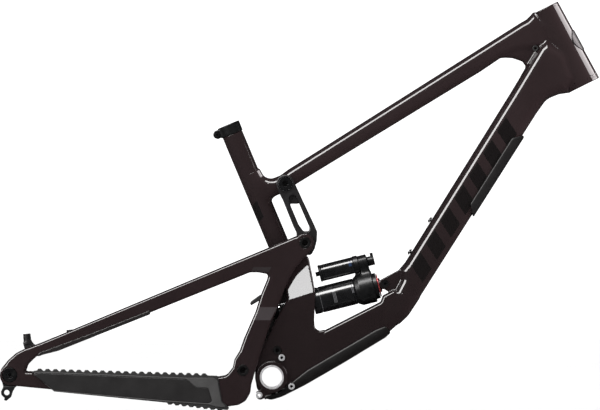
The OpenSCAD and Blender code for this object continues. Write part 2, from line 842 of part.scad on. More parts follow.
module rebound_dial() {
    color([0.75, 0.12, 0.1]) on_shock() difference() {
        translate([0, 0, 10]) cylinder(r = 19.5, h = 2);
        translate([0, 0, 9]) cylinder(r = 12 + play, h = 4);
    }
}

// ---- rear axle -----------------------------------------------------------------------------

module rear_axle() {
    color([0.14, 0.14, 0.15]) difference() {
        union() {
            cross_bar(hub_axis, axle_r, -dropout_out - 1, dropout_out + 1);
            cross_bar(hub_axis, 9, dropout_out + 0.4, dropout_out + 4);
        }
        cross_bar(hub_axis, 3, dropout_out - 4, dropout_out + 6);
        cross_bar(hub_axis, 3, -dropout_out - 2, -dropout_out + 4);
    }
}

front_triangle();
bb_shell_sleeve();
iscg_inserts();
head_badge();
seat_collar();
collar_bolt();
collar_nut();
bottle_bolts();
down_tube_guard();
shuttle_guard();
shock_front_bolt();
shock_front_nut();
upper_link_axle();
upper_link_axle_caps();
lower_link_axle();
lower_link_axle_nut();
cable_port_grommets();
upper_link();
upper_link_frame_bearings();
upper_link_stay_bearings();
swingarm();
chainstay_protector();
seatstay_protector();
mud_flap();
derailleur_hanger();
hanger_bolt();
swingarm_upper_axle();
swingarm_lower_axle();
swingarm_axle_caps();
brake_mount();
brake_mount_inserts();
lower_link();
lower_link_frame_bearings();
lower_link_stay_bearings();
shock_rear_bolt();
shock_head();
shock_front_bushing();
air_can();
air_can_seal_head();
reservoir();
reservoir_cap();
air_valve();
shock_shaft();
shock_piston();
shock_rear_eyelet();
sag_ring();
compression_lever();
rebound_dial();
rear_axle();
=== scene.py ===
"""Looks of the mountain bike frame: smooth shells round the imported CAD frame, materials, light and camera.

The shells are signed distance fields, in millimetres of the frame's own axes (X forward, Y left, Z up),
which become meshes in metres. A field is negative inside the piece.
"""
import json
import math
import bmesh
import bpy
import numpy as np
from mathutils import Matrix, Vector


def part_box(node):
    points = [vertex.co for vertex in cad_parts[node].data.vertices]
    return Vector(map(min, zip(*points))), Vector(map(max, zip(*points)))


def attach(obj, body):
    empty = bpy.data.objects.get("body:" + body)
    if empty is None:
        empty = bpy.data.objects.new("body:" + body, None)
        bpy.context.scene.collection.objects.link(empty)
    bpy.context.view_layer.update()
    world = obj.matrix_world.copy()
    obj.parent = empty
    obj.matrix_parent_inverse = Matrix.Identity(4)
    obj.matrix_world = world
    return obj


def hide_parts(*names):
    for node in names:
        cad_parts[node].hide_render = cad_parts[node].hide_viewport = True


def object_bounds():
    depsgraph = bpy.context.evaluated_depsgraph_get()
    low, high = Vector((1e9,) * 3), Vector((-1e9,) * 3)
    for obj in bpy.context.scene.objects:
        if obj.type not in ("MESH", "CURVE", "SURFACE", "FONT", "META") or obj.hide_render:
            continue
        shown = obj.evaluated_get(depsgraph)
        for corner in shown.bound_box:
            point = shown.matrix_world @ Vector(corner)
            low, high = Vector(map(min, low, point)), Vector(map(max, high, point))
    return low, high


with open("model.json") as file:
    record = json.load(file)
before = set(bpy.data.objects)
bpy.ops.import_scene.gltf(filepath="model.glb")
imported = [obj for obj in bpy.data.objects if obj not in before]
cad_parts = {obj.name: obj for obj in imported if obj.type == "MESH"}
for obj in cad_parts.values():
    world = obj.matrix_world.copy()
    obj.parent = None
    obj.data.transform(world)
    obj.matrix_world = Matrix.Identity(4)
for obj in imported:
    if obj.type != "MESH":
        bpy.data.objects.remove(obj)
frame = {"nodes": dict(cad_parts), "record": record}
cad_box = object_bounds()

MM = 0.001
REACH = 12.0  # an outline's distance is exact this near to its box


# ---- places, in the side view ------------------------------------------------------------------
def spot(metres):
    """A place in the side view, in millimetres, from a position in the frame."""
    return round(metres[0] / MM, 1), round(metres[2] / MM, 1)


def middle_of(node):
    low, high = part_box(node)
    return spot((low + high) / 2)


JOINTS = {joint["name"]: spot(joint["pos_m"]) for joint in frame["record"]["behaviour"]["joints"]
          if "pos_m" in joint}
MOUNTS = {mount["name"]: spot(mount["pos_m"]) for mount in frame["record"]["mounts"]}
LINK_FRAME = JOINTS["upper_link_pivot"]
LINK_STAY = JOINTS["swingarm_pivot"]
LOWER_FRAME = middle_of("lower_link_axle")
LOWER_STAY = JOINTS["lower_link_pivot"]
SHOCK_EYE = JOINTS["shock_front_pivot"]
SHOCK_ANGLE = 194
SHOCK_LEN = 210
HUB = JOINTS["rear_axle_turn"]
HANGER_HOLE = MOUNTS["derailleur_hanger_hole"]
HEAD_BASE = (528.7, 493.6)
HEAD_ANGLE = 116.55
HEAD_LEN = 147
HEAD_R = 28.7  # outer radius at the lower end
HEAD_TAPER = 5.2  # how much smaller it is at the upper end
SEAT_TOP = (-66.8, 410.8)
SEAT_ANGLE = 112.8
DOWN_ANGLE = 57.6
WALL_OUT = 29  # half width of the tunnel's walls
WALL_IN = 22.5
SHELL_R = 20.2  # bore for the bottom bracket sleeve
LEG_IN = 31  # from the middle to the inside of an upright
LEG_T = 12
HUB_HALF = 74


# ---- distance fields ---------------------------------------------------------------------------
def ray(angle):
    a = math.radians(angle)
    return np.array((math.cos(a), math.sin(a)))


def place(p, angle, u, v=0.0):
    """The side-view point at u along a line from p and v to its left."""
    c, s = ray(angle)
    return (p[0] + u * c - v * s, p[1] + u * s + v * c)


def line_uv(x, z, p, angle):
    """How far points are along a side-view line, and how far to its left."""
    c, s = ray(angle)
    return (x - p[0]) * c + (z - p[1]) * s, (z - p[1]) * c - (x - p[0]) * s


def rounded(corners):
    """A closed outline of (x, z, corner radius), with the round corners as arcs."""
    points = []
    for i, (x, z, r) in enumerate(corners):
        p = np.array((x, z), float)
        a = np.array(corners[i - 1][:2], float) - p
        b = np.array(corners[(i + 1) % len(corners)][:2], float) - p
        la, lb = np.linalg.norm(a), np.linalg.norm(b)
        a, b = a / la, b / lb
        half = math.acos(max(-1.0, min(1.0, float(a @ b)))) / 2
        if r <= 0 or half > 1.55:
            points.append(p)
            continue
        t = min(r / math.tan(half), 0.49 * min(la, lb))
        r = t * math.tan(half)
        middle = p + (a + b) / np.linalg.norm(a + b) * r / math.sin(half)
        first, last = p + a * t - middle, p + b * t - middle
        start = math.atan2(first[1], first[0])
        turn = (math.atan2(last[1], last[0]) - start + math.pi) % (2 * math.pi) - math.pi
        steps = max(2, math.ceil(abs(turn) / 0.16))
        for k in range(steps + 1):
            t_a = start + turn * k / steps
            points.append(middle + r * np.array((math.cos(t_a), math.sin(t_a))))
    return np.array(points)


class Outline:
    """A closed outline in the side view. Calling it gives the signed distance of points from it."""

    def __init__(self, *corners):
        self.points = rounded(corners)
        self.lo, self.hi = self.points.min(0), self.points.max(0)

    def __call__(self, x, z):
        x, z = np.broadcast_arrays(x, z)
        shape = x.shape
        x, z = x.ravel(), z.ravel()
        far = np.hypot(np.maximum(np.maximum(self.lo[0] - x, x - self.hi[0]), 0),
                       np.maximum(np.maximum(self.lo[1] - z, z - self.hi[1]), 0))
        near = far < REACH
        x, z = x[near], z[near]
        best, inside = np.full(x.size, 1e9, x.dtype), np.zeros(x.size, bool)
        for (ax, az), (bx, bz) in zip(self.points, np.roll(self.points, -1, 0)):
            ex, ez = bx - ax, bz - az
            size = ex * ex + ez * ez
            if size < 1e-9:
                continue
            wx, wz = x - ax, z - az
            t = np.clip((wx * ex + wz * ez) / size, 0, 1)
            np.minimum(best, (wx - t * ex) ** 2 + (wz - t * ez) ** 2, out=best)
            if abs(ez) > 1e-9:
                inside ^= ((az > z) != (bz > z)) & (wx < wz * (ex / ez))
        far[near] = np.sqrt(best) * np.where(inside, -1, 1)
        return far.reshape(shape)


def slab(side, half, d, edge):
    """A body with outline distance d, where side is the distance from its middle plane, with round edges."""
    q, w = d + edge, side - half + edge
    return np.minimum(np.maximum(q, w), 0) + np.hypot(np.maximum(q, 0), np.maximum(w, 0)) - edge


def join(a, b, k):
    h = np.maximum(k - np.abs(a - b), 0) / k
    return np.minimum(a, b) - h * h * k / 4


def meet(a, b, k):
    return -join(-a, -b, k)


def cut(a, b, k=0.8):
    return -join(-a, b, k)


def step(x, a, b):
    t = np.clip((x - a) / (b - a), 0, 1)
    return t * t * (3 - 2 * t)


def bar(x, y, z, p, r, y0, y1, edge=0.6):
    """A round bar across the frame."""
    d = np.hypot(x - p[0], z - p[1]) - r
    return slab(np.abs(y - (y0 + y1) / 2), (y1 - y0) / 2, d, edge)


def rod(u, v, y, r, u0, u1, edge=0.8):
    """A round body along a line of the side view, from its own coordinates."""
    return slab(np.abs(u - (u0 + u1) / 2), (u1 - u0) / 2, np.hypot(v, y) - r, edge)


# ---- front triangle ----------------------------------------------------------------------------
TOP = Outline((-32, 300, 4), (-6, 298, 8), (8, 307, 7), (18, 311, 10), (41.7, 326.5, 60),
              (352.7, 516.4, 60), (387, 539.5, 8), (420, 552, 20), (475, 556, 8), (468, 600, 6),
              (442.5, 616.5, 2), (431, 605, 12), (420.3, 598.9, 20), (82.3, 385.3, 80), (28, 351.2, 30),
              (14, 341, 12), (-2, 334.8, 16), (-14, 340, 14), (-21.5, 352, 6), (-40, 362, 4), (-52, 360, 4))
DOWN = Outline((198, 140, 4), (207, 147, 6), (216.5, 165, 8), (215.6, 182, 6), (226, 194.5, 20),
               (404.3, 481, 60), (452, 560, 3), (464, 572, 5), (500, 552, 20), (516, 505, 10),
               (501.4, 480.6, 4), (486, 478.4, 20), (465, 470, 30), (447.3, 445.1, 20),
               (258.1, 147, 40), (244.5, 125.9, 30), (231, 105.3, 30), (214, 88, 10), (180, 104, 4))
JUNCTION = Outline((380, 548, 2), (388.5, 540.8, 5), (408, 539.3, 14), (424, 533.8, 9),
                   (431.2, 523.5, 8), (420, 504, 10), (446, 480, 4), (495, 520, 10), (470, 596, 10),
                   (400, 570, 10))
KEEL = Outline((-22, 28, 6), (50, 60.5, 20), (87.5, 77.9, 20), (184, 127.2, 6), (188, 138, 5),
               (205.8, 147, 6), (236, 140, 10), (252, 138, 4), (244.5, 125.9, 20), (229, 103, 20),
               (190.5, 69, 20), (122.9, 28, 60), (55.3, -11, 40), (14.7, -31.5, 30),
               (0, -36, 14), (-14, -33, 8), (-25, -20, 6))
WALL_FRONT = ((18, 232, 6), (45, 214, 14), (62.7, 202.5, 10), (67, 180, 20), (73.5, 145, 10),
              (71.8, 96, 14), (72.6, 84, 8), (79.5, 77.6, 8), (92, 80.5, 2), (60, 10, 4), (1.2, -28, 4),
              (-14, -28, 4), (-25, -20, 4), (-28.4, -1.4, 10))
WALL = Outline((2, 232, 6), *WALL_FRONT, (-27, 28, 16), (-13.2, 54.4, 16), (4, 92, 20), (26.5, 131.5, 8),
               (22.3, 152, 20), (6, 190, 20))
FAR_WALL = Outline((4, 232, 6), *WALL_FRONT, (-28, 28, 16), (-20, 62, 16), (-6, 100, 20), (10, 140, 8),
                   (10, 190, 20))
VOID = Outline((-70, -14.5, 4), (-13, 18.7, 8), (-4, 24.6, 8), (20, 24.6, 8), (33, 36, 8),
               (56, 91, 12), (100, 96, 4), (100, 160, 4), (-70, 160, 4))
BRACKET = Outline((182.5, 161, 3), (188, 166.5, 4), (216, 181.5, 3), (232, 192, 3), (228, 150, 3),
                  (204, 140, 3), (190, 148.5, 4), (183, 152, 3))
ISCG = [MOUNTS["iscg_hole_" + where] for where in ("front", "lower", "rear")]
ISCG_TAB = Outline((-6, -14, 2), (-27, -25, 8), (-29, -33, 8), (-20, -39, 8), (-13, -36, 6),
                   (14, -18, 2))
FACET = (29, 130.5)
FACET_ANGLE = 17.5
SEAT_R = 17.8
SKIN = 0.15  # the shell's own seat tube lies this far inside the piece that shows
SEAT_SPLIT = -74  # how far along the seat tube the shell's own one stops


def front_outside(x, y, z):
    """The carbon shell before its bores."""
    side = np.abs(y)
    u, v = line_uv(x, z, HEAD_BASE, HEAD_ANGLE)
    radius = HEAD_R - HEAD_TAPER * np.clip(u / HEAD_LEN, 0, 1)
    head = slab(np.abs(u - HEAD_LEN / 2), HEAD_LEN / 2, np.hypot(v, y) - radius, 1.5)
    su, sv = line_uv(x, z, SEAT_TOP, SEAT_ANGLE)
    seat = rod(su, sv, y, SEAT_R - SKIN, -240, SEAT_SPLIT, 0.1)
    top = slab(side, 13.8 + 6.2 * step(-sv, 6, 60), TOP(x, z), 13)
    du, _ = line_uv(x, z, (300, 264), DOWN_ANGLE)
    down = slab(side, 30 - 7 * step(du, 330, 385), DOWN(x, z), 19)
    web = slab(side, 15, JUNCTION(x, z), 7)
    ku, kv = line_uv(x, z, (115, 53), 29.5)
    keel_half = 29 + 2.4 * step(ku, 0, 90) - 2.4 * step(ku, 90, 150)
    keel = slab(side, keel_half, KEEL(x, z), 16 - 9.5 * step(kv, 4, 24))
    boss = bar(x, side, z, (0, 0), 26.5, -36.5, 36.5, 1.2)
    _, fv = line_uv(x, z, FACET, FACET_ANGLE)
    wall_half = WALL_OUT - 0.27 * np.clip(fv, 0, 46) - 0.12 * np.clip(fv - 46, 0, 40)
    wall = np.where(y > 0, slab(side, wall_half, FAR_WALL(x, z), 3.5), slab(side, wall_half, WALL(x, z), 3.5))
    low = join(join(keel, wall, 0.8), down, 4)
    low = np.minimum(low, boss)
    low = cut(low, slab(side, np.minimum(WALL_IN, wall_half - 3.2), VOID(x, z), 3), 1.5)
    eu, ev = line_uv(x, z, SHOCK_EYE, SHOCK_ANGLE)
    upper = join(top, web, 4)
    upper = join(upper, head, 8 - 3 * step(u, 85, 130))
    upper = join(upper, seat, 7)
    body = join(upper, low, 4)
    body = cut(body, rod(eu, ev, y, 24.5, 7.5, 57.5, 2), 2)
    ears = slab(np.abs(side - 16), 4, BRACKET(x, z), 1.2)
    ears = np.minimum(ears, slab(np.abs(side - 16), 4,
                                 np.hypot(x - SHOCK_EYE[0], z - SHOCK_EYE[1]) - 9.5, 1.2))
    body = join(body, ears, 2.5)
    tab = slab(np.abs(y + 31.2), 3.3, ISCG_TAB(x, z), 1)
    return np.minimum(body, tab)


def front_field(x, y, z):
    body = front_outside(x, y, z)
    side = np.abs(y)
    u, v = line_uv(x, z, HEAD_BASE, HEAD_ANGLE)
    r = np.hypot(v, y)
    body = cut(body, r - (23.5 - 4.7 * u / HEAD_LEN), 0.8)
    body = cut(body, np.maximum(r - 26.05, u - 10))
    body = cut(body, np.maximum(r - 20.9, HEAD_LEN - 8 - u))
    su, sv = line_uv(x, z, SEAT_TOP, SEAT_ANGLE)
    body = cut(body, np.maximum(np.hypot(sv, y) - 14, -200 - su), 0.6)
    body = cut(body, np.hypot(x, z) - SHELL_R)
    body = cut(body, np.hypot(x - LINK_FRAME[0], z - LINK_FRAME[1]) - 8)
    body = cut(body, np.hypot(x - LOWER_FRAME[0], z - LOWER_FRAME[1]) - 7)
    body = cut(body, np.hypot(x - SHOCK_EYE[0], z - SHOCK_EYE[1]) - 4)
    for px, pz in ISCG:
        body = cut(body, np.maximum(np.hypot(x - px, z - pz) - 5.6, y + 22))
    return body


# ---- mesh from a field -------------------------------------------------------------------------
def slope(field, p, e=0.05):
    f = field(p[:, 0], p[:, 1], p[:, 2])
    g = np.empty_like(p)
    for a in range(3):
        q = p.copy()
        q[:, a] += e
        g[:, a] = (field(q[:, 0], q[:, 1], q[:, 2]) - f) / e
    return f, g


def net(field, lo, hi, size):
    """Vertices, quads and normals of the field's zero surface, on a grid of cells of that size."""
    axes = [np.arange(a, b + size, size, dtype=np.float32) for a, b in zip(lo, hi)]
    f = field(axes[0][:, None, None], axes[1][None, :, None], axes[2][None, None, :])
    f = np.ascontiguousarray(np.broadcast_to(f, [len(a) for a in axes]), dtype=np.float32)
    inside = f < 0
    corners = [(i, j, k) for i in (0, 1) for j in (0, 1) for k in (0, 1)]
    shape = tuple(n - 1 for n in f.shape)
    total = np.zeros(shape, np.uint8)
    for i, j, k in corners:
        total += inside[i:i + shape[0], j:j + shape[1], k:k + shape[2]]
    cells = np.argwhere((total > 0) & (total < 8))
    index = np.full(shape, -1, np.int64)
    index[tuple(cells.T)] = np.arange(len(cells))
    values = np.stack([f[tuple((cells + c).T)] for c in corners], 1)
    spot, count = np.zeros((len(cells), 3)), np.zeros(len(cells))
    for a in range(8):
        for b in range(a + 1, 8):
            ca, cb = np.array(corners[a]), np.array(corners[b])
            if np.abs(ca - cb).sum() != 1:
                continue
            crossing = (values[:, a] < 0) != (values[:, b] < 0)
            t = values[crossing, a] / (values[crossing, a] - values[crossing, b])
            spot[crossing] += ca + t[:, None] * (cb - ca)
            count[crossing] += 1
    verts = np.array(lo, float) + (cells + spot / count[:, None]) * size
    quads = []
    for a in range(3):
        b, c = (a + 1) % 3, (a + 2) % 3
        one = [slice(None)] * 3
        two = [slice(None)] * 3
        one[a], two[a] = slice(0, -1), slice(1, None)
        change = inside[tuple(one)] != inside[tuple(two)]
        at = np.argwhere(change)
        at = at[(at[:, b] > 0) & (at[:, c] > 0) & (at[:, b] < shape[b]) & (at[:, c] < shape[c])]
        eb, ec = np.zeros(3, int), np.zeros(3, int)
        eb[b], ec[c] = 1, 1
        ring = [index[tuple((at - d).T)] for d in (eb + ec, ec, 0 * eb, eb)]
        ring = np.stack(ring, 1)
        flip = ~inside[tuple(at.T)]
        ring[flip] = ring[flip][:, ::-1]
        quads.append(ring)
    quads = np.concatenate(quads)
    start = verts.copy()
    for _ in range(3):
        f, g = slope(field, verts)
        move = g * (f / np.maximum((g * g).sum(1), 0.2))[:, None]
        long = np.linalg.norm(move, axis=1)
        verts -= move * np.minimum(1, 0.5 * size / np.maximum(long, 1e-9))[:, None]
        away = verts - start
        long = np.linalg.norm(away, axis=1)
        verts = start + away * np.minimum(1, 0.9 * size / np.maximum(long, 1e-9))[:, None]
    _, g = slope(field, verts)
    return verts, quads, g / np.maximum(np.linalg.norm(g, axis=1), 1e-9)[:, None]


def refine(field, verts, faces, normals, turn, levels, size):
    """Halves the edges across which the surface turns by more than that angle, and fits the new points."""
    for _ in range(levels):
        work = bpy.data.meshes.new("Work")
        work.from_pydata(verts.tolist(), [], faces)
        ends = np.empty(len(work.edges) * 2, np.int32)
        work.edges.foreach_get("vertices", ends)
        ends = ends.reshape(-1, 2)
        bent = (normals[ends[:, 0]] * normals[ends[:, 1]]).sum(1) < math.cos(math.radians(turn))
        bm = bmesh.new()
        bm.from_mesh(work)
        bm.edges.ensure_lookup_table()
        bmesh.ops.subdivide_edges(bm, edges=[bm.edges[k] for k in np.flatnonzero(bent)], cuts=1,
                                  use_grid_fill=True)
        bm.to_mesh(work)
        bm.free()
        count = len(verts)
        verts = np.empty(len(work.vertices) * 3)
        work.vertices.foreach_get("co", verts)
        verts = verts.reshape(-1, 3)
        faces = [tuple(p.vertices) for p in work.polygons]
        bpy.data.meshes.remove(work)
        new = verts[count:]
        for _ in range(2):
            f, g = slope(field, new)
            move = g * (f / np.maximum((g * g).sum(1), 0.2))[:, None]
            long = np.linalg.norm(move, axis=1)
            new = new - move * np.minimum(1, 0.4 * size / np.maximum(long, 1e-9))[:, None]
        verts[count:] = new
        _, g = slope(field, verts)
        normals = g / np.maximum(np.linalg.norm(g, axis=1), 1e-9)[:, None]
    return verts, faces, normals


def grow(name, field, lo, hi, size, body, slot, paint, *nodes, turn=0, levels=1):
    """A smooth piece from a field, which rides on that body and stands for those CAD nodes."""
    verts, quads, normals = net(field, lo, hi, size)
    quads = quads.tolist()
    if turn:
        verts, quads, normals = refine(field, verts, quads, normals, turn, levels, size)
    mesh = bpy.data.meshes.new(name)
    mesh.from_pydata((verts * MM).tolist(), [], quads)
    mesh.polygons.foreach_set("use_smooth", np.ones(len(mesh.polygons), bool))
    mesh.update()
    mesh.normals_split_custom_set_from_vertices(normals.tolist())
    return fit(name, mesh, body, slot, paint, *nodes)


def fit(name, mesh, body, slot, paint, *nodes):
    piece = bpy.data.objects.new(name, mesh)
    bpy.context.scene.collection.objects.link(piece)
    mesh.materials.clear()
    mesh.materials.append(paint)
    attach(piece, body)
    if nodes:
        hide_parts(*nodes)
    return piece


# ---- materials ---------------------------------------------------------------------------------
def surface(name, dark, light, scale, rough, metallic=0.0, spread=0.06, bump=0.0, bump_scale=900,
            coat=0.0, coat_rough=0.02, specular=0.5):
    """A material whose colour and roughness vary with noise in the piece's own coordinates."""
    m = bpy.data.materials.new(name)
    m.use_nodes = True
    nodes, links = m.node_tree.nodes, m.node_tree.links
    shader = nodes["Principled BSDF"]
    where = nodes.new("ShaderNodeTexCoord")
    noise = nodes.new("ShaderNodeTexNoise")
    noise.inputs["Scale"].default_value = scale
    noise.inputs["Detail"].default_value = 5
    links.new(where.outputs["Object"], noise.inputs["Vector"])
    ramp = nodes.new("ShaderNodeValToRGB")
    ramp.color_ramp.elements[0].position, ramp.color_ramp.elements[1].position = 0.35, 0.65
    ramp.color_ramp.elements[0].color = (*dark, 1)
    ramp.color_ramp.elements[1].color = (*light, 1)
    links.new(noise.outputs["Fac"], ramp.inputs["Fac"])
    links.new(ramp.outputs["Color"], shader.inputs["Base Color"])
    spreader = nodes.new("ShaderNodeMapRange")
    spreader.inputs["To Min"].default_value = rough - spread
    spreader.inputs["To Max"].default_value = rough + spread
    links.new(noise.outputs["Fac"], spreader.inputs["Value"])
    links.new(spreader.outputs["Result"], shader.inputs["Roughness"])
    shader.inputs["Metallic"].default_value = metallic
    shader.inputs["Coat Weight"].default_value = coat
    shader.inputs["Coat Roughness"].default_value = coat_rough
    shader.inputs["Specular IOR Level"].default_value = specular
    if bump:
        grain = nodes.new("ShaderNodeTexNoise")
        grain.inputs["Scale"].default_value = bump_scale
        grain.inputs["Detail"].default_value = 3
        links.new(where.outputs["Object"], grain.inputs["Vector"])
        relief = nodes.new("ShaderNodeBump")
        relief.inputs["Strength"].default_value = bump
        relief.inputs["Distance"].default_value = 0.0004
        links.new(grain.outputs["Fac"], relief.inputs["Height"])
        links.new(relief.outputs["Normal"], shader.inputs["Normal"])
    return m


def math_node(m, kind, a, b=None):
    node = m.node_tree.nodes.new("ShaderNodeMath")
    node.operation = kind
    for socket, value in zip(node.inputs, (a, b)):
        if value is None:
            continue
        if isinstance(value, (int, float)):
            socket.default_value = value
        else:
            m.node_tree.links.new(value, socket)
    return node.outputs[0]


def paint_shade_downward(m, low, high, least):
    """Paints shade into a paint: darker toward the bottom, as if less light reached the lower parts, from
    full colour at the high level to that share at the low one.
    """
    nodes, links = m.node_tree.nodes, m.node_tree.links
    base = nodes["Principled BSDF"].inputs["Base Color"]
    split = nodes.new("ShaderNodeSeparateXYZ")
    links.new(nodes["Texture Coordinate"].outputs["Object"], split.inputs[0])
    share = nodes.new("ShaderNodeMapRange")
    for socket, value in (("From Min", low * MM), ("From Max", high * MM), ("To Min", least)):
        share.inputs[socket].default_value = value
    links.new(split.outputs["Z"], share.inputs["Value"])
    scale = nodes.new("ShaderNodeVectorMath")
    scale.operation = "SCALE"
    links.new(base.links[0].from_socket, scale.inputs[0])
    links.new(share.outputs["Result"], scale.inputs["Scale"])
    links.new(scale.outputs[0], base)


def stripes(m, p, angle, u0, u1, v0, v1, pitch, duty, lean, colour):
    """Adds plain slanted bars to a paint: a generic stand-in for the maker's lettering and prints, and, where
    called so below, painted reflection patches and a painted highlight line.
    """
    nodes, links = m.node_tree.nodes, m.node_tree.links
    shader = nodes["Principled BSDF"]
    base = shader.inputs["Base Color"].links[0].from_socket
    split = nodes.new("ShaderNodeSeparateXYZ")
    links.new(nodes["Texture Coordinate"].outputs["Object"], split.inputs[0])
    c, s = ray(angle)
    x = math_node(m, "SUBTRACT", split.outputs["X"], p[0] * MM)
    z = math_node(m, "SUBTRACT", split.outputs["Z"], p[1] * MM)
    u = math_node(m, "ADD", math_node(m, "MULTIPLY", x, float(c)), math_node(m, "MULTIPLY", z, float(s)))
    v = math_node(m, "SUBTRACT", math_node(m, "MULTIPLY", z, float(c)), math_node(m, "MULTIPLY", x, float(s)))
    slant = math_node(m, "ADD", u, math_node(m, "MULTIPLY", v, lean))
    count = math_node(m, "DIVIDE", math_node(m, "SUBTRACT", slant, u0 * MM), pitch * MM)
    mask = math_node(m, "LESS_THAN", math_node(m, "FRACT", count), duty)
    for value, low, high in ((slant, u0, u1), (v, v0, v1)):
        mask = math_node(m, "MULTIPLY", mask, math_node(m, "GREATER_THAN", value, low * MM))
        mask = math_node(m, "MULTIPLY", mask, math_node(m, "LESS_THAN", value, high * MM))
    mix = nodes.new("ShaderNodeMix")
    mix.data_type = "RGBA"
    links.new(mask, mix.inputs["Factor"])
    links.new(base, mix.inputs["A"])
    mix.inputs["B"].default_value = (*colour, 1)
    links.new(mix.outputs["Result"], shader.inputs["Base Color"])


paint = surface("Paint", (0.0208, 0.0128, 0.0136), (0.0240, 0.0150, 0.0158), 14, 0.5, coat=1.0,
                specular=0.03)
# painted shade: the frame paint grows darker toward the bottom, down to 0.55 of its colour at 40 mm up
paint_shade_downward(paint, 40, 420, 0.55)
stripes(paint, (300, 264), DOWN_ANGLE, -104, 200, -18, 13, 45, 0.62, -0.45, (0.0068, 0.0052, 0.0053))
stripes(paint, (-10, 275), SEAT_ANGLE, 0, 30, 5, 20, 60, 0.9, 0.5, (0.0075, 0.0058, 0.0060))
# painted shade: the frame's own paint, darker on the swingarm, which sits lower and gets less light; it also
# carries painted reflection patches
arm_paint_with_painted_light = surface("ArmPaintWithPaintedLight", (0.0178, 0.0108, 0.0115), (0.0204, 0.0124, 0.0131), 14, 0.5,
                    coat=1.0, specular=0.03)
# painted reflection: a pale grey patch on the upright, where the glossy paint mirrors something lighter
stripes(arm_paint_with_painted_light, (-29.2, 96.4), 0, -4, 27, 0, 22, 60, 0.9, -0.53, (0.050, 0.042, 0.044))
# painted reflection: a paler patch under the seatstay root
stripes(arm_paint_with_painted_light, (-36, 177), 0, 0, 30, 0, 9, 60, 0.9, -0.6, (0.027, 0.022, 0.023))
guard_rubber = surface("GuardRubber", (0.0082, 0.0062, 0.0063), (0.0104, 0.0082, 0.0083), 60, 0.5,
                       bump=0.2, bump_scale=2600)
# painted light: the guard's rubber again, lighter here because this guard stands higher, matching the paint's
# painted shade toward the bottom
shuttle_rubber_lit = surface("ShuttleRubberLit", (0.0150, 0.0128, 0.0132), (0.0188, 0.0164, 0.0168), 60, 0.5,
                         bump=0.2, bump_scale=2600)
pad_frame = surface("PadFrame", (0.040, 0.038, 0.038), (0.050, 0.048, 0.048), 60, 0.62, bump=0.3,
                    bump_scale=2400)
pad_teeth = surface("PadTeeth", (0.0110, 0.0096, 0.0098), (0.0145, 0.0128, 0.0130), 60, 0.6, bump=0.3,
                    bump_scale=2400)
pad_panel = surface("PadPanel", (0.0132, 0.0112, 0.0116), (0.0166, 0.0144, 0.0148), 40, 0.42, bump=0.12,
                    bump_scale=2600)
stay_film = surface("StayFilm", (0.013, 0.011, 0.011), (0.017, 0.014, 0.014), 40, 0.30, bump=0.1)
link_black = surface("LinkBlack", (0.014, 0.012, 0.013), (0.020, 0.018, 0.019), 80, 0.36,
                     metallic=0.25, bump=0.12, bump_scale=3000)
black_steel = surface("BlackSteel", (0.010, 0.010, 0.011), (0.020, 0.020, 0.021), 120, 0.26,
                      metallic=0.6, bump=0.05)
axle_grey = surface("AxleGrey", (0.010, 0.0095, 0.0098), (0.016, 0.0155, 0.0158), 140, 0.28,
                    metallic=0.5, bump=0.06)
steel = surface("Steel", (0.42, 0.42, 0.43), (0.55, 0.55, 0.56), 200, 0.3, metallic=0.35, bump=0.05)
shell_alloy = surface("ShellAlloy", (0.50, 0.49, 0.50), (0.62, 0.61, 0.62), 180, 0.3, metallic=0.35,
                      bump=0.08, bump_scale=1800)
chrome = surface("ShaftChrome", (0.60, 0.60, 0.62), (0.68, 0.68, 0.70), 30, 0.12, metallic=1.0,
                 spread=0.03)
shock_black = surface("ShockBlack", (0.006, 0.006, 0.0065), (0.011, 0.011, 0.012), 160, 0.33,
                      metallic=0.3, bump=0.14, bump_scale=3200)
can_black = surface("CanBlack", (0.005, 0.005, 0.0055), (0.008, 0.008, 0.009), 60, 0.22,
                    coat=0.6)
stripes(can_black, SHOCK_EYE, SHOCK_ANGLE, 85, 91, -13, 11, 2.0, 0.5, 0, (0.12, 0.12, 0.125))
stripes(can_black, SHOCK_EYE, SHOCK_ANGLE, 54, 57, -13, 2, 2.0, 0.5, 0, (0.16, 0.16, 0.17))
stripes(can_black, SHOCK_EYE, SHOCK_ANGLE, 47, 52, -51, -43, 9, 0.9, 0, (0.016, 0.035, 0.085))
# painted highlight: a thin pale ring across the can, standing in for a glint line by its groove
stripes(can_black, SHOCK_EYE, SHOCK_ANGLE, 111.5, 112.5, -22, 22, 9, 0.9, 0, (0.09, 0.09, 0.095))
rubber = surface("SealRubber", (0.008, 0.008, 0.008), (0.013, 0.013, 0.013), 100, 0.5, bump=0.1)
red_dial = surface("DialRed", (0.40, 0.055, 0.06), (0.52, 0.08, 0.085), 200, 0.3, metallic=0.5,
                   bump=0.05)
badge_grey = surface("BadgeGrey", (0.020, 0.018, 0.019), (0.036, 0.033, 0.034), 120, 0.35,
                     metallic=0.6, bump=0.06)
collar_black = surface("CollarBlack", (0.012, 0.012, 0.013), (0.018, 0.018, 0.019), 160, 0.30,
                       metallic=0.5, bump=0.08, bump_scale=2600)
hanger_black = surface("HangerBlack", (0.010, 0.010, 0.011), (0.018, 0.018, 0.019), 160, 0.38,
                       metallic=0.5, bump=0.1)

# ---- front triangle and what is fixed to it ----------------------------------------------------
grow("FrontTriangle", front_field, (-90, -39, -48), (562, 39, 640), 2.0, "root", "carbon_paint", paint,
     "front_triangle", turn=3, levels=2)


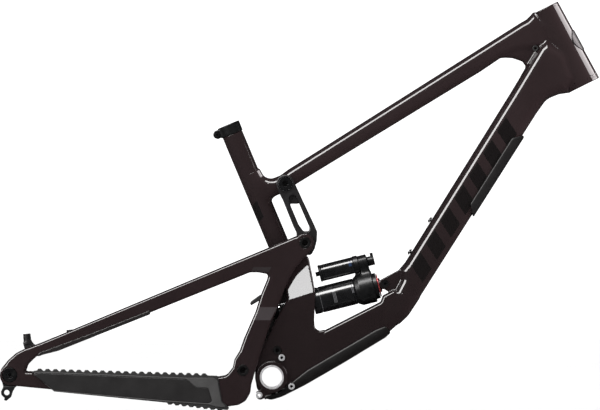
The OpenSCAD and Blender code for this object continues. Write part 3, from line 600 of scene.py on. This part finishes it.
def seat_tube_field(x, y, z):
    u, v = line_uv(x, z, SEAT_TOP, SEAT_ANGLE)
    r = np.hypot(v, y)
    body = slab(np.abs(u + 103.5), 103.5, r - SEAT_R, 0.8)
    body = np.minimum(body, slab(np.abs(u + 1), 19, r - 16.9, 0.5))
    body = cut(body, np.maximum(r - 15.8, -62 - u), 0.3)
    return cut(body, np.maximum(np.maximum(np.abs(y) - 1.5, -14 - u), -v), 0.3)


grow("SeatTube", seat_tube_field, (-94, -19, 198), (34, 19, 436), 0.9, "root", "carbon_paint", paint)

GUARD = Outline((-13, -44, 3), (60, -22, 3), (130, 15, 3), (205, 64, 3), (200, 78, 4), (192, 86, 4),
                (176, 80, 10), (111, 42, 30), (60, 12, 30), (30, -12, 20), (4, -28, 8), (-12, -31, 3))
SHUTTLE = Outline((341, 268, 3), (352, 274, 3), (432, 402, 3), (425, 409, 3), (406, 404, 6),
                  (336, 293, 4))


def guard_field(outline, proud):
    def field(x, y, z):
        skin = front_outside(x, y, z)
        body = cut(meet(skin - proud, outline(x, z), 3), skin - 0.2, 0.4)
        for px, pz in ISCG:
            body = cut(body, np.maximum(np.hypot(x - px, z - pz) - 6, y + 22), 0.4)
        return body
    return field


grow("DownTubeGuard", guard_field(GUARD, 2.9), (-20, -38, -46), (214, 38, 92), 1.6, "root",
     "guard_rubber", guard_rubber, "down_tube_guard")
grow("ShuttleGuard", guard_field(SHUTTLE, 4.2), (328, -36, 260), (440, 36, 416), 1.6, "root",
     "guard_rubber", shuttle_rubber_lit, "shuttle_guard")


def badge_field(x, y, z):
    u, v = line_uv(x, z, HEAD_BASE, HEAD_ANGLE)
    radius = HEAD_R - HEAD_TAPER * u / HEAD_LEN
    wide = np.abs(y) - 22 + 0.026 * (u - 73) ** 2
    plate = meet(np.maximum(np.abs(u - 73) - 19, wide), np.maximum(np.hypot(v, y) - radius - 1.2, v), 1.0)
    return np.maximum(plate, radius - 0.2 - np.hypot(v, y))


badge_corners = np.array([place(HEAD_BASE, HEAD_ANGLE, u, v) for u in (51, 95) for v in (-30, -6)])
badge_lo, badge_hi = badge_corners.min(0), badge_corners.max(0)
grow("HeadBadge", badge_field, (badge_lo[0], -26, badge_lo[1]), (badge_hi[0], 26, badge_hi[1]), 0.9,
     "root", "badge", badge_grey, "head_badge")


def collar_field(x, y, z):
    u, v = line_uv(x, z, SEAT_TOP, SEAT_ANGLE)
    side = np.abs(y)
    ring = rod(u - 9, v, y, 19.2, -8.8, 8.8, 1.2)
    lug = np.hypot(v - 24, u - 9) - 6.8
    lug = slab(side, 11, join(lug, np.maximum(np.abs(u - 9) - 6.4, np.abs(v - 17) - 8), 3), 1.5)
    ring = join(ring, lug, 3)
    ring = cut(ring, np.hypot(v, y) - 16.95, 0.4)
    ring = cut(ring, np.maximum(side - 1.5, -v), 0.5)
    ring = cut(ring, np.hypot(v - 24, u - 9) - 2.7, 0.4)
    return cut(ring, np.maximum(np.hypot(v - 24, u - 9) - 4.7, 8 - side), 0.4)


grow("SeatCollar", collar_field, (-114, -21, 392), (-44, 21, 442), 0.8, "root", "collar_alloy",
     collar_black, "seat_collar")

# ---- swingarm ----------------------------------------------------------------------------------
ARM = Outline((-458.3, 1.2, 6), (-456, 15, 10), (-445, 29, 12), (-431.5, 41, 12), (-417.9, 48, 10),
              (-390.9, 57.6, 20), (-12.3, 216, 80), (50, 242.2, 14), (71.6, 238, 14), (69.4, 216, 10),
              (39.5, 183.2, 20), (33, 171.4, 20), (22.2, 148.7, 40), (10.4, 118.5, 40),
              (-3.7, 85.1, 60), (-28.6, 8, 30), (-34.5, -12, 10), (-36.5, -27, 10), (-44, -40, 10),
              (-56, -47, 12), (-80, -50.4, 20), (-120.5, -46.9, 60), (-188, -37.9, 60),
              (-431.5, -14.4, 20), (-446, -13.4, 8), (-455, -8, 6))
WINDOW = Outline((-417.5, 9, 2), (-413, 21, 8), (-403, 31, 10), (-396, 36.6, 8), (-363.9, 45.5, 30),
                 (-52.9, 170.5, 30), (-37, 177, 10), (-23, 177, 10), (-6, 174, 5), (-8, 165, 12),
                 (-18.7, 139, 40), (-27.4, 111, 40), (-46, 68, 40), (-54.5, 44, 6), (-63, 30, 6),
                 (-66, 16, 6), (-76, 3, 14), (-90, 0.6, 20), (-120, 0, 40), (-370, 7.5, 20), (-405, 8.8, 4))
PAD_TEETH = 22
PAD_LOW_TEETH = 8


def flare(x):
    t = (-62 - x) / 338
    soft = 0.03
    t = np.where(t > soft, t, np.maximum(t + soft, 0) ** 2 / (4 * soft))
    return np.clip(t, 0, 1) ** 0.62


def arm_side(x):
    """Middle and half thickness of an arm at x."""
    f = flare(x)
    half = (LEG_T - 2 * f) / 2
    return LEG_IN + (HUB_HALF - LEG_IN) * f + half, half


def arm_solid(x, y, z):
    middle, half = arm_side(x)
    side = np.abs(y)
    frame_d = cut(ARM(x, z), WINDOW(x, z), 2)
    arm = slab(np.abs(side - middle), half, frame_d, np.minimum(half - 0.1, 5.9))
    drop = slab(np.abs(side - 79), 5, np.hypot(x - HUB[0], z - HUB[1]) - 16.4, 2)
    arm = join(arm, drop, 3)
    boss = bar(x, side, z, LINK_STAY, 15.5, LEG_IN, LEG_IN + LEG_T, 2.2)
    arm = join(arm, boss, 2)
    arm = np.minimum(arm, bar(x, side, z, LINK_STAY, 13, 28.4, 34))
    return arm


POST_MID = (-379.5, 76)  # halfway between the tops of the brake posts
POST_TILT = 5.3
POST_HALF = 37
BRIDGE = Outline((-86, 161, 6), (-60, 171.5, 6), (-54, 176, 6), (-54, 193, 6), (-64, 192, 8), (-86, 182, 8))
LOW_BRIDGE = Outline((-66, -46, 6), (-48, -42, 6), (-44, -30, 6), (-48, -22, 6), (-62, -21, 6))


def swingarm_field(x, y, z):
    arm = arm_solid(x, y, z)
    side = np.abs(y)
    arm = join(arm, slab(side, LEG_IN + 4, BRIDGE(x, z), 5), 6)
    arm = join(arm, slab(side, LEG_IN + 4, LOW_BRIDGE(x, z), 5), 5)
    for p in (LINK_STAY, LOWER_STAY):
        d = np.hypot(x - p[0], z - p[1])
        arm = cut(arm, d - 8, 0.4)
        arm = cut(arm, np.maximum(d - 10.1, 42.9 - side), 0.6)
    d = np.hypot(x - HUB[0], z - HUB[1])
    arm = cut(arm, d - 6.1, 0.4)
    arm = cut(arm, np.maximum(d - 9.1, y), 0.4)
    arm = cut(arm, np.maximum(d - 12.6, y + 82.8), 0.6)
    for s in (-1, 1):
        u, v = line_uv(x, z, place(POST_MID, POST_TILT, POST_HALF * s), 90 + POST_TILT)
        arm = cut(arm, np.maximum(np.hypot(v, y - 79) - 6.9, -18.4 - u), 0.3)
    pocket = np.minimum(HANGER(x, z) - 0.4, d - 16.5)
    return cut(arm, np.maximum(pocket, np.abs(y + 76) - 3.1), 0.3)


HANGER = Outline((-458, 4, 8), (-453, -16, 3), (-457, -24, 3), (-456, -30, 4), (-450.5, -34.5, 2),
                 (-452, -38, 1), (-448, -39.5, 1.5), (-439.5, -33, 5), (-437, -24, 5), (-433, -17, 4),
                 (-428, -13, 3), (-427, 4, 8))
grow("Swingarm", swingarm_field, (-462, -88, -56), (78, 88, 248), 2.0, "rear_arm", "carbon_paint",
     arm_paint_with_painted_light, "swingarm", turn=3, levels=2)


def hanger_field(x, y, z):
    d = np.hypot(x - HUB[0], z - HUB[1])
    plate = np.minimum(HANGER(x, z), d - 16)
    body = slab(np.abs(y + 76.5), 2.5, plate, 0.8)
    body = np.minimum(body, slab(np.abs(y + 78), 4, np.maximum(HANGER(x, z), z + 15), 1))
    body = cut(body, d - 7.5, 0.4)
    return cut(body, np.hypot(x - HANGER_HOLE[0], z - HANGER_HOLE[1]) - 4.5, 0.8)


grow("DerailleurHanger", hanger_field, (-461, -84, -43), (-423, -72, 24), 0.8, "rear_arm",
     "hanger_alloy", hanger_black, "derailleur_hanger")


def pad_top(x):
    return 11.2 - 0.03 * (x + 380)


def pad_bottom(x):
    return -42.5 - 0.125 * (x + 180)


def pad_corners():
    corners = [(-407, 9, 2), (-400, 11.5, 2)]
    for i in range(PAD_TEETH):
        x = -390.5 + 13.2 * i
        corners += [(x - 6, pad_top(x - 6), 0.8), (x - 3.5, pad_top(x) + 3.4, 1.2),
                    (x + 1, pad_top(x) + 3.6, 1.2), (x + 5, pad_top(x + 5), 0.8)]
    corners += [(-91, 2.6, 3), (-90, -3.3, 6), (-83.3, -41.4, 8), (-72, -51, 2), (-74, -55.5, 2)]
    for i in reversed(range(PAD_LOW_TEETH)):
        x = -172 + 12 * i
        corners += [(x + 5, pad_bottom(x + 5), 0.8), (x + 2.5, pad_bottom(x) - 2.6, 1),
                    (x - 2.5, pad_bottom(x) - 2.6, 1), (x - 5, pad_bottom(x - 5), 0.8)]
    return corners + [(-180, -42.5, 4), (-369, -23.5, 3), (-369, -17, 3), (-401, 7, 6)]


PAD = Outline(*pad_corners())
PANEL = Outline((-403, 5.5, 3), (-391, 7.4, 6), (-144, -3.3, 6), (-135.4, -10.9, 5), (-129, -16.8, 8),
                (-107.3, -18.3, 4), (-100.6, -41.6, 4), (-107.3, -43.6, 5), (-180.5, -38.6, 20),
                (-366.4, -21.6, 4))
RIM = Outline((-405.5, 7.4, 3), (-391, 9.7, 6), (-142, -0.6, 6), (-97, -0.6, 6), (-91.5, -6, 5),
              (-85, -42, 8), (-75, -51.5, 2), (-96, -49.5, 6), (-107.3, -46, 8), (-180.5, -41, 20),
              (-367, -23.6, 4))


def pad_field(x, y, z):
    middle, half = arm_side(x)
    pad = slab(np.abs(-y - middle - 0.9), half + 1.3, PAD(x, z), 1.2)
    return np.maximum(pad, -(arm_solid(x, y, z) + 0.2))


def panel_field(x, y, z):
    middle, half = arm_side(x)
    return slab(np.abs(-y - middle - half), 2.7, PANEL(x, z), 0.9)


def rim_field(x, y, z):
    middle, half = arm_side(x)
    ring = np.maximum(RIM(x, z), -(PANEL(x, z) - 0.3))
    return slab(np.abs(-y - middle - half - 0.6), 2.7, ring, 1.1)


grow("ChainstayProtector", pad_field, (-412, -90, -60), (-68, -30, 22), 1.3, "rear_arm", "chain_pad",
     pad_teeth, "chainstay_protector", turn=9)
grow("ChainstayPanel", panel_field, (-408, -90, -48), (-96, -38, 12), 1.3, "rear_arm", "chain_pad",
     pad_panel, turn=9)
grow("ChainstayRim", rim_field, (-410, -91, -56), (-70, -38, 14), 1.0, "rear_arm", "chain_pad",
     pad_frame, turn=9)
STAY_PAD = Outline((-397, 35.5, 2), (-360, 45, 10), (-205, 106.5, 3), (-205, 113.5, 3), (-300, 76, 20),
                   (-392, 42, 2))


def stay_pad_field(x, y, z):
    middle, half = arm_side(x)
    pad = slab(np.abs(-y - middle - 0.6), half + 0.8, STAY_PAD(x, z), 0.8)
    return np.maximum(pad, -(arm_solid(x, y, z) + 0.1))


grow("SeatstayProtector", stay_pad_field, (-400, -88, 32), (-200, -48, 117), 1.3, "rear_arm",
     "stay_pad", stay_film, "seatstay_protector")
FLAP = Outline((-35, 121, 1), (-37, 125, 1.5), (-34.5, 128.5, 1.5), (-20, 139, 1.5), (-16, 139, 1),
               (-18, 131, 6))
grow("MudFlap", lambda x, y, z: slab(np.abs(y), LEG_IN - 0.2, FLAP(x, z), 1), (-40, -33, 118),
     (-13, 33, 142), 1.2, "rear_arm", "guard_rubber", guard_rubber, "mud_flap")

# ---- brake mount -------------------------------------------------------------------------------
MOUNT = Outline((-423, 58, 3), (-410, 63, 5), (-402, 52, 8), (-352, 66, 8), (-348, 75, 4),
                (-336, 76, 3), (-338, 62, 6), (-352, 50, 8), (-396, 34, 8), (-412, 36, 6), (-420, 47, 5))


def mount_field(x, y, z):
    web = slab(np.abs(y - 79), 5, MOUNT(x, z), 2)
    body = np.maximum(web, -(arm_solid(x, y, z) + 0.1))
    for s in (-1, 1):
        u, v = line_uv(x, z, place(POST_MID, POST_TILT, POST_HALF * s), 90 + POST_TILT)
        body = join(body, slab(np.abs(u + 9), 9, np.hypot(v, y - 79) - 6.5, 1), 2)
    for s in (-1, 1):
        u, v = line_uv(x, z, place(POST_MID, POST_TILT, POST_HALF * s), 90 + POST_TILT)
        body = cut(body, np.maximum(np.hypot(v, y - 79) - 3.5, -14 - u), 0.4)
    return body


grow("BrakeMount", mount_field, (-428, 70, 30), (-330, 89, 84), 1.0, "rear_arm", "mount_alloy",
     link_black, "brake_mount")

# ---- links -------------------------------------------------------------------------------------
LINK = Outline((8, 333, 14), (9.5, 317, 10), (18.9, 298.6, 30), (36, 256, 20), (41.6, 244.4, 8),
               (42, 232, 8), (50, 212, 12), (58, 206.8, 8), (66.6, 206, 6), (72.8, 217.5, 6), (76.2, 231, 10),
               (76.8, 246, 8), (70.6, 260, 20), (52.4, 298.6, 30), (38, 330, 14), (28, 342, 14),
               (15, 341, 12))
LINK_WINDOW = Outline((29, 305, 6), (39, 309, 6), (45, 296, 8), (63.8, 253, 8), (63, 247, 3),
                      (53.6, 246.6, 5), (45.3, 258, 10), (31.8, 290, 8))
LINK_POCKET = Outline((24, 293, 3), (29.5, 310.5, 5), (38.5, 310.5, 5), (48, 293, 3))


def upper_link_field(x, y, z):
    side = np.abs(y)
    plate = slab(np.abs(side - 23.75), 3.75, cut(LINK(x, z), LINK_WINDOW(x, z), 2), 2.4)
    web = slab(side, 21, LINK_POCKET(x, z), 2.5)
    body = join(plate, web, 4)
    for p in (LINK_FRAME, LINK_STAY):
        body = join(body, bar(x, side, z, p, 15, 20, 27.5, 1.2), 1.5)
        body = cut(body, np.hypot(x - p[0], z - p[1]) - 12, 0.5)
    return body


grow("UpperLink", upper_link_field, (4, -29, 202), (80, 29, 346), 1.0, "upper_rocker", "link_alloy",
     link_black, "upper_link")
REAR_EYE = place(SHOCK_EYE, SHOCK_ANGLE, SHOCK_LEN)


def capsule(x, z, p, q, rp, rq):
    length = math.dist(p, q)
    u, v = line_uv(x, z, p, math.degrees(math.atan2(q[1] - p[1], q[0] - p[0])))
    t = np.clip(u / length, 0, 1)
    return np.hypot(u - t * length, v) - (rp + (rq - rp) * t)


def lower_link_field(x, y, z):
    side = np.abs(y)
    arms = join(capsule(x, z, LOWER_FRAME, LOWER_STAY, 9, 9),
                capsule(x, z, LOWER_FRAME, REAR_EYE, 13, 9.5), 8)
    arms = np.minimum(arms, np.hypot(x - LOWER_FRAME[0], z - LOWER_FRAME[1]) - 16.5)
    body = slab(side, 20.5, arms, 2.5)
    body = np.minimum(body, bar(x, side, z, LOWER_STAY, 14, 0, LEG_IN - 0.6, 1.2))
    fork = np.minimum(np.hypot(x - REAR_EYE[0], z - REAR_EYE[1]) - 19,
                      capsule(x, z, REAR_EYE, (REAR_EYE[0] + 5, REAR_EYE[1] + 30), 18, 26))
    body = cut(body, np.maximum(fork, side - 14), 1)
    body = cut(body, np.hypot(x - LOWER_STAY[0], z - LOWER_STAY[1]) - 11, 0.4)
    body = cut(body, np.hypot(x - LOWER_FRAME[0], z - LOWER_FRAME[1]) - 13, 0.4)
    return cut(body, np.hypot(x - REAR_EYE[0], z - REAR_EYE[1]) - 3.5, 0.4)


grow("LowerLink", lower_link_field, (-66, -33, -6), (30, 33, 120), 1.4, "lower_rocker", "link_alloy",
     link_black, "lower_link")


# ---- shock -------------------------------------------------------------------------------------
def shock_field(shape):
    def field(x, y, z):
        u, v = line_uv(x, z, SHOCK_EYE, SHOCK_ANGLE)
        return shape(u, -v, y)
    return field


def head_shape(u, v, y):
    side = np.abs(y)
    eye = slab(side, 11.5, np.hypot(u, v) - 9, 1)
    neck = slab(side, 9, np.maximum(np.abs(v) - 8, np.abs(u - 6.5) - 6.5), 1)
    neck = np.minimum(neck, rod(u, v, y, 12, 7, 21, 0.4))
    top = rod(u, v, y, 22, 12.3, 19.6, 1)
    r = np.hypot(v, y)
    cone = np.maximum(r - 26.5, (r - 26.5 + (u - 43.5) * 0.57) * 0.87)
    head = slab(np.abs(u - 35.5), 16.5, cone, 1.6)
    head = np.maximum(head, np.maximum(cone, np.maximum(19 - u, u - 52)) - 1)
    arm = slab(side, 11, np.maximum(np.abs(v - 34) - 17, np.abs(u - 27.5) - 7.5), 3)
    barrel = rod(u, v - 43.5, y, 13.2, 20, 35.2, 1.5)
    rib = slab(side, 4.5, np.maximum(np.abs(v - 32) - 9, np.abs(u - 38) - 7), 2)
    head = join(head, join(arm, barrel, 3), 6)
    head = join(head, rib, 3)
    body = np.minimum(np.minimum(eye, neck), np.minimum(top, head))
    body = cut(body, np.hypot(u, v) - 6.5, 0.5)
    return cut(body, np.maximum(r - 18, 42 - u), 0.5)


def shock_box(u0, u1, v0, v1):
    """A box in the frame's axes round a stretch of the shock's side view."""
    c, s = ray(SHOCK_ANGLE)
    xs = [SHOCK_EYE[0] + u * c + v * s for u in (u0, u1) for v in (v0, v1)]
    zs = [SHOCK_EYE[1] + u * s - v * c for u in (u0, u1) for v in (v0, v1)]
    return min(xs), max(xs), min(zs), max(zs)


def grow_on_shock(name, shape, u0, u1, v0, v1, half, size, body, slot, finish, *nodes):
    x0, x1, z0, z1 = shock_box(u0, u1, v0, v1)
    return grow(name, shock_field(shape), (x0, -half, z0), (x1, half, z1), size, body, slot, finish,
                *nodes)


grow_on_shock("ShockHead", head_shape, -11, 54, -29, 60, 29, 0.9, "shock_body", "shock_black",
              shock_black, "shock_head")


def lathe(name, profile, offset, body, slot, finish, *nodes, turns=72):
    """A round piece on a line parallel to the shock, from (distance along, radius) points."""
    c, s = ray(SHOCK_ANGLE)
    verts, faces = [], []
    for u, r in profile:
        for k in range(turns):
            a = 2 * math.pi * k / turns
            v = offset + r * math.cos(a)
            verts.append(((SHOCK_EYE[0] + u * c + v * s) * MM, r * math.sin(a) * MM,
                          (SHOCK_EYE[1] + u * s - v * c) * MM))
    rows = len(profile)
    for i in range(rows):
        j = (i + 1) % rows
        for k in range(turns):
            n = (k + 1) % turns
            faces.append((i * turns + k, j * turns + k, j * turns + n, i * turns + n))
    mesh = bpy.data.meshes.new(name)
    mesh.from_pydata(verts, [], faces)
    mesh.polygons.foreach_set("use_smooth", np.ones(len(mesh.polygons), bool))
    mesh.update()
    mesh.set_sharp_from_angle(angle=math.radians(38))
    return fit(name, mesh, body, slot, finish, *nodes)


def ring_profile(r_in, r_out, u0, u1, edge, *grooves):
    """The section of a round sleeve with bevelled outer edges and plain grooves (middle, width, depth)."""
    points = [(u0, r_in), (u0, r_out - edge), (u0 + edge, r_out)]
    for middle, width, depth in grooves:
        h = width / 2
        points += [(middle - h, r_out), (middle - h + 0.3, r_out - depth),
                   (middle + h - 0.3, r_out - depth), (middle + h, r_out)]
    return points + [(u1 - edge, r_out), (u1, r_out - edge), (u1, r_in)]


lathe("AirCan", ring_profile(18, 22.2, 52, 126, 0.9, (56, 1.0, 0.5), (113, 2.2, 0.9), (122, 0.8, 0.4)), 0,
      "shock_body", "can_black", can_black, "air_can")
lathe("Reservoir", ring_profile(0.05, 14, 44, 99, 0.5, (48.5, 0.8, 0.4), (96, 0.8, 0.4)), 43.5,
      "shock_body", "can_black", can_black, "reservoir")
lathe("ReservoirCollar", ring_profile(0.05, 14.8, 35, 44.2, 0.8), 43.5, "shock_body", "can_black",
      shock_black)
lathe("ReservoirCap", ring_profile(3.8, 14.5, 99, 104, 1.2, (101.4, 0.8, 0.4)), 43.5, "shock_body",
      "shock_black", shock_black, "reservoir_cap")


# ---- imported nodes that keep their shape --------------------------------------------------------
FINISHES = {
    "bb_shell_sleeve": shell_alloy, "iscg_inserts": steel, "collar_bolt": black_steel,
    "collar_nut": black_steel, "bottle_bolts": black_steel, "shock_front_bolt": black_steel,
    "shock_front_nut": black_steel, "upper_link_axle": axle_grey, "upper_link_axle_caps": black_steel,
    "lower_link_axle": axle_grey, "lower_link_axle_nut": axle_grey, "cable_port_grommets": rubber,
    "upper_link_frame_bearings": steel, "upper_link_stay_bearings": steel, "hanger_bolt": black_steel,
    "swingarm_upper_axle": axle_grey, "swingarm_lower_axle": axle_grey,
    "swingarm_axle_caps": axle_grey, "brake_mount_inserts": steel,
    "lower_link_frame_bearings": steel, "lower_link_stay_bearings": steel,
    "shock_rear_bolt": black_steel, "shock_front_bushing": steel, "air_can_seal_head": rubber,
    "air_valve": black_steel, "shock_shaft": chrome, "shock_piston": axle_grey,
    "shock_rear_eyelet": shock_black, "sag_ring": rubber, "compression_lever": shock_black,
    "rebound_dial": red_dial, "rear_axle": black_steel,
}
for node, finish in FINISHES.items():
    piece = frame["nodes"][node]
    piece.data.materials.clear()
    piece.data.materials.append(finish)
    weld = piece.modifiers.new("Weld", "WELD")
    weld.merge_threshold = 0.00001
    bevel = piece.modifiers.new("Edges", "BEVEL")
    bevel.width = 0.00035
    bevel.segments = 2
    bevel.limit_method = "ANGLE"
    bevel.angle_limit = math.radians(38)
    bevel.harden_normals = True

# ---- floor, light and camera -------------------------------------------------------------------
AIM = Vector((0.0477, -0.04, 0.291))
DISTANCE = 24.0
VIEW_WIDTH = 1.014
SENSOR = 36.0


def panel(name, aim, direction, distance, size_a, size_b, strength, colour=(1, 1, 1)):
    """A soft light that faces a point of the frame from that direction."""
    light = bpy.data.lights.new(name, "AREA")
    light.shape = "RECTANGLE"
    light.size, light.size_y = size_a, size_b
    light.color = colour
    light.energy = strength * size_a * size_b * math.pi
    lamp = bpy.data.objects.new(name, light)
    bpy.context.scene.collection.objects.link(lamp)
    d = Vector(direction).normalized()
    lamp.location = Vector(aim) + d * distance
    lamp.rotation_euler = (-d).to_track_quat("-Z", "Y").to_euler()
    return lamp


def arc_light(name, cone, width, start, end, distance, strength, colour, steps=40):
    """A glowing strip at a constant angle from the viewing axis, so that every edge shows one line."""
    verts, faces = [], []
    for i in range(steps + 1):
        a = math.radians(start + (end - start) * i / steps)
        for c in (cone - width / 2, cone + width / 2):
            c = math.radians(c)
            verts.append(tuple(AIM + distance * Vector((math.sin(c) * math.cos(a), -math.cos(c),
                                                        math.sin(c) * math.sin(a)))))
        if i:
            faces.append((2 * i - 2, 2 * i - 1, 2 * i + 1, 2 * i))
    mesh = bpy.data.meshes.new(name)
    mesh.from_pydata(verts, [], faces)
    glow = bpy.data.materials.new(name)
    glow.use_nodes = True
    nodes, links = glow.node_tree.nodes, glow.node_tree.links
    nodes.clear()
    out = nodes.new("ShaderNodeOutputMaterial")
    light = nodes.new("ShaderNodeEmission")
    light.inputs["Color"].default_value = (*colour, 1)
    light.inputs["Strength"].default_value = strength
    links.new(light.outputs[0], out.inputs["Surface"])
    mesh.materials.append(glow)
    strip = bpy.data.objects.new(name, mesh)
    bpy.context.scene.collection.objects.link(strip)
    strip.visible_camera = False
    strip.visible_diffuse = False
    return strip


floor_mesh = bpy.data.meshes.new("Floor")
FLOOR_Z = cad_box[0].z - 0.004
floor_mesh.from_pydata([(-9, -9, FLOOR_Z), (9, -9, FLOOR_Z), (9, 14, FLOOR_Z), (-9, 14, FLOOR_Z)], [],
                       [(0, 1, 2, 3)])
floor_mesh.materials.append(surface("FloorPaint", (0.84, 0.84, 0.84), (0.87, 0.87, 0.87), 2, 0.8))
floor = bpy.data.objects.new("Floor", floor_mesh)
bpy.context.scene.collection.objects.link(floor)
floor.visible_glossy = False


def lights_only(lamp, state, *names):
    """The light reaches only those pieces (INCLUDE), or all but those (EXCLUDE)."""
    group = bpy.data.collections.new(lamp.name + "Pieces")
    for name in names:
        group.objects.link(bpy.data.objects[name])
    lamp.light_linking.receiver_collection = group
    for member in group.collection_objects:
        member.light_linking.link_state = state


arc_light("EdgeArc", 56, 21, 78, 174, 3.2, 17, (1, 0.99, 0.98))
head_panel = panel("HeadPanel", (0.5, 0, 0.56), (0.95, 0.10, 0.42), 3.0, 2.8, 2.0, 9, (1.0, 0.95, 0.96))
lights_only(head_panel, "INCLUDE", "FrontTriangle", "HeadBadge")
facet_card = panel("FacetCard", (0.05, -0.025, 0.157), (-0.151, -0.864, 0.480), 14.0, 0.8, 0.8, 16)
lights_only(facet_card, "INCLUDE", "FrontTriangle")

world = bpy.data.worlds.new("Studio")
world.use_nodes = True
nodes, links = world.node_tree.nodes, world.node_tree.links
background = nodes["Background"]
path = nodes.new("ShaderNodeLightPath")
level = nodes.new("ShaderNodeMapRange")
level.inputs["To Min"].default_value = 1.35
level.inputs["To Max"].default_value = 0.04
links.new(path.outputs["Is Glossy Ray"], level.inputs["Value"])
links.new(level.outputs["Result"], background.inputs["Strength"])
background.inputs["Color"].default_value = (1, 1, 1, 1)
bpy.context.scene.world = world
bpy.context.scene.view_settings.view_transform = "Standard"

lens = bpy.data.cameras.new("Camera")
lens.sensor_width = SENSOR
lens.lens = SENSOR * DISTANCE / VIEW_WIDTH
lens.clip_end = 60
camera = bpy.data.objects.new("Camera", lens)
bpy.context.scene.collection.objects.link(camera)
camera.location = AIM + Vector((0, -DISTANCE, 0))
camera.rotation_euler = (math.radians(90), 0, 0)
bpy.context.scene.camera = camera
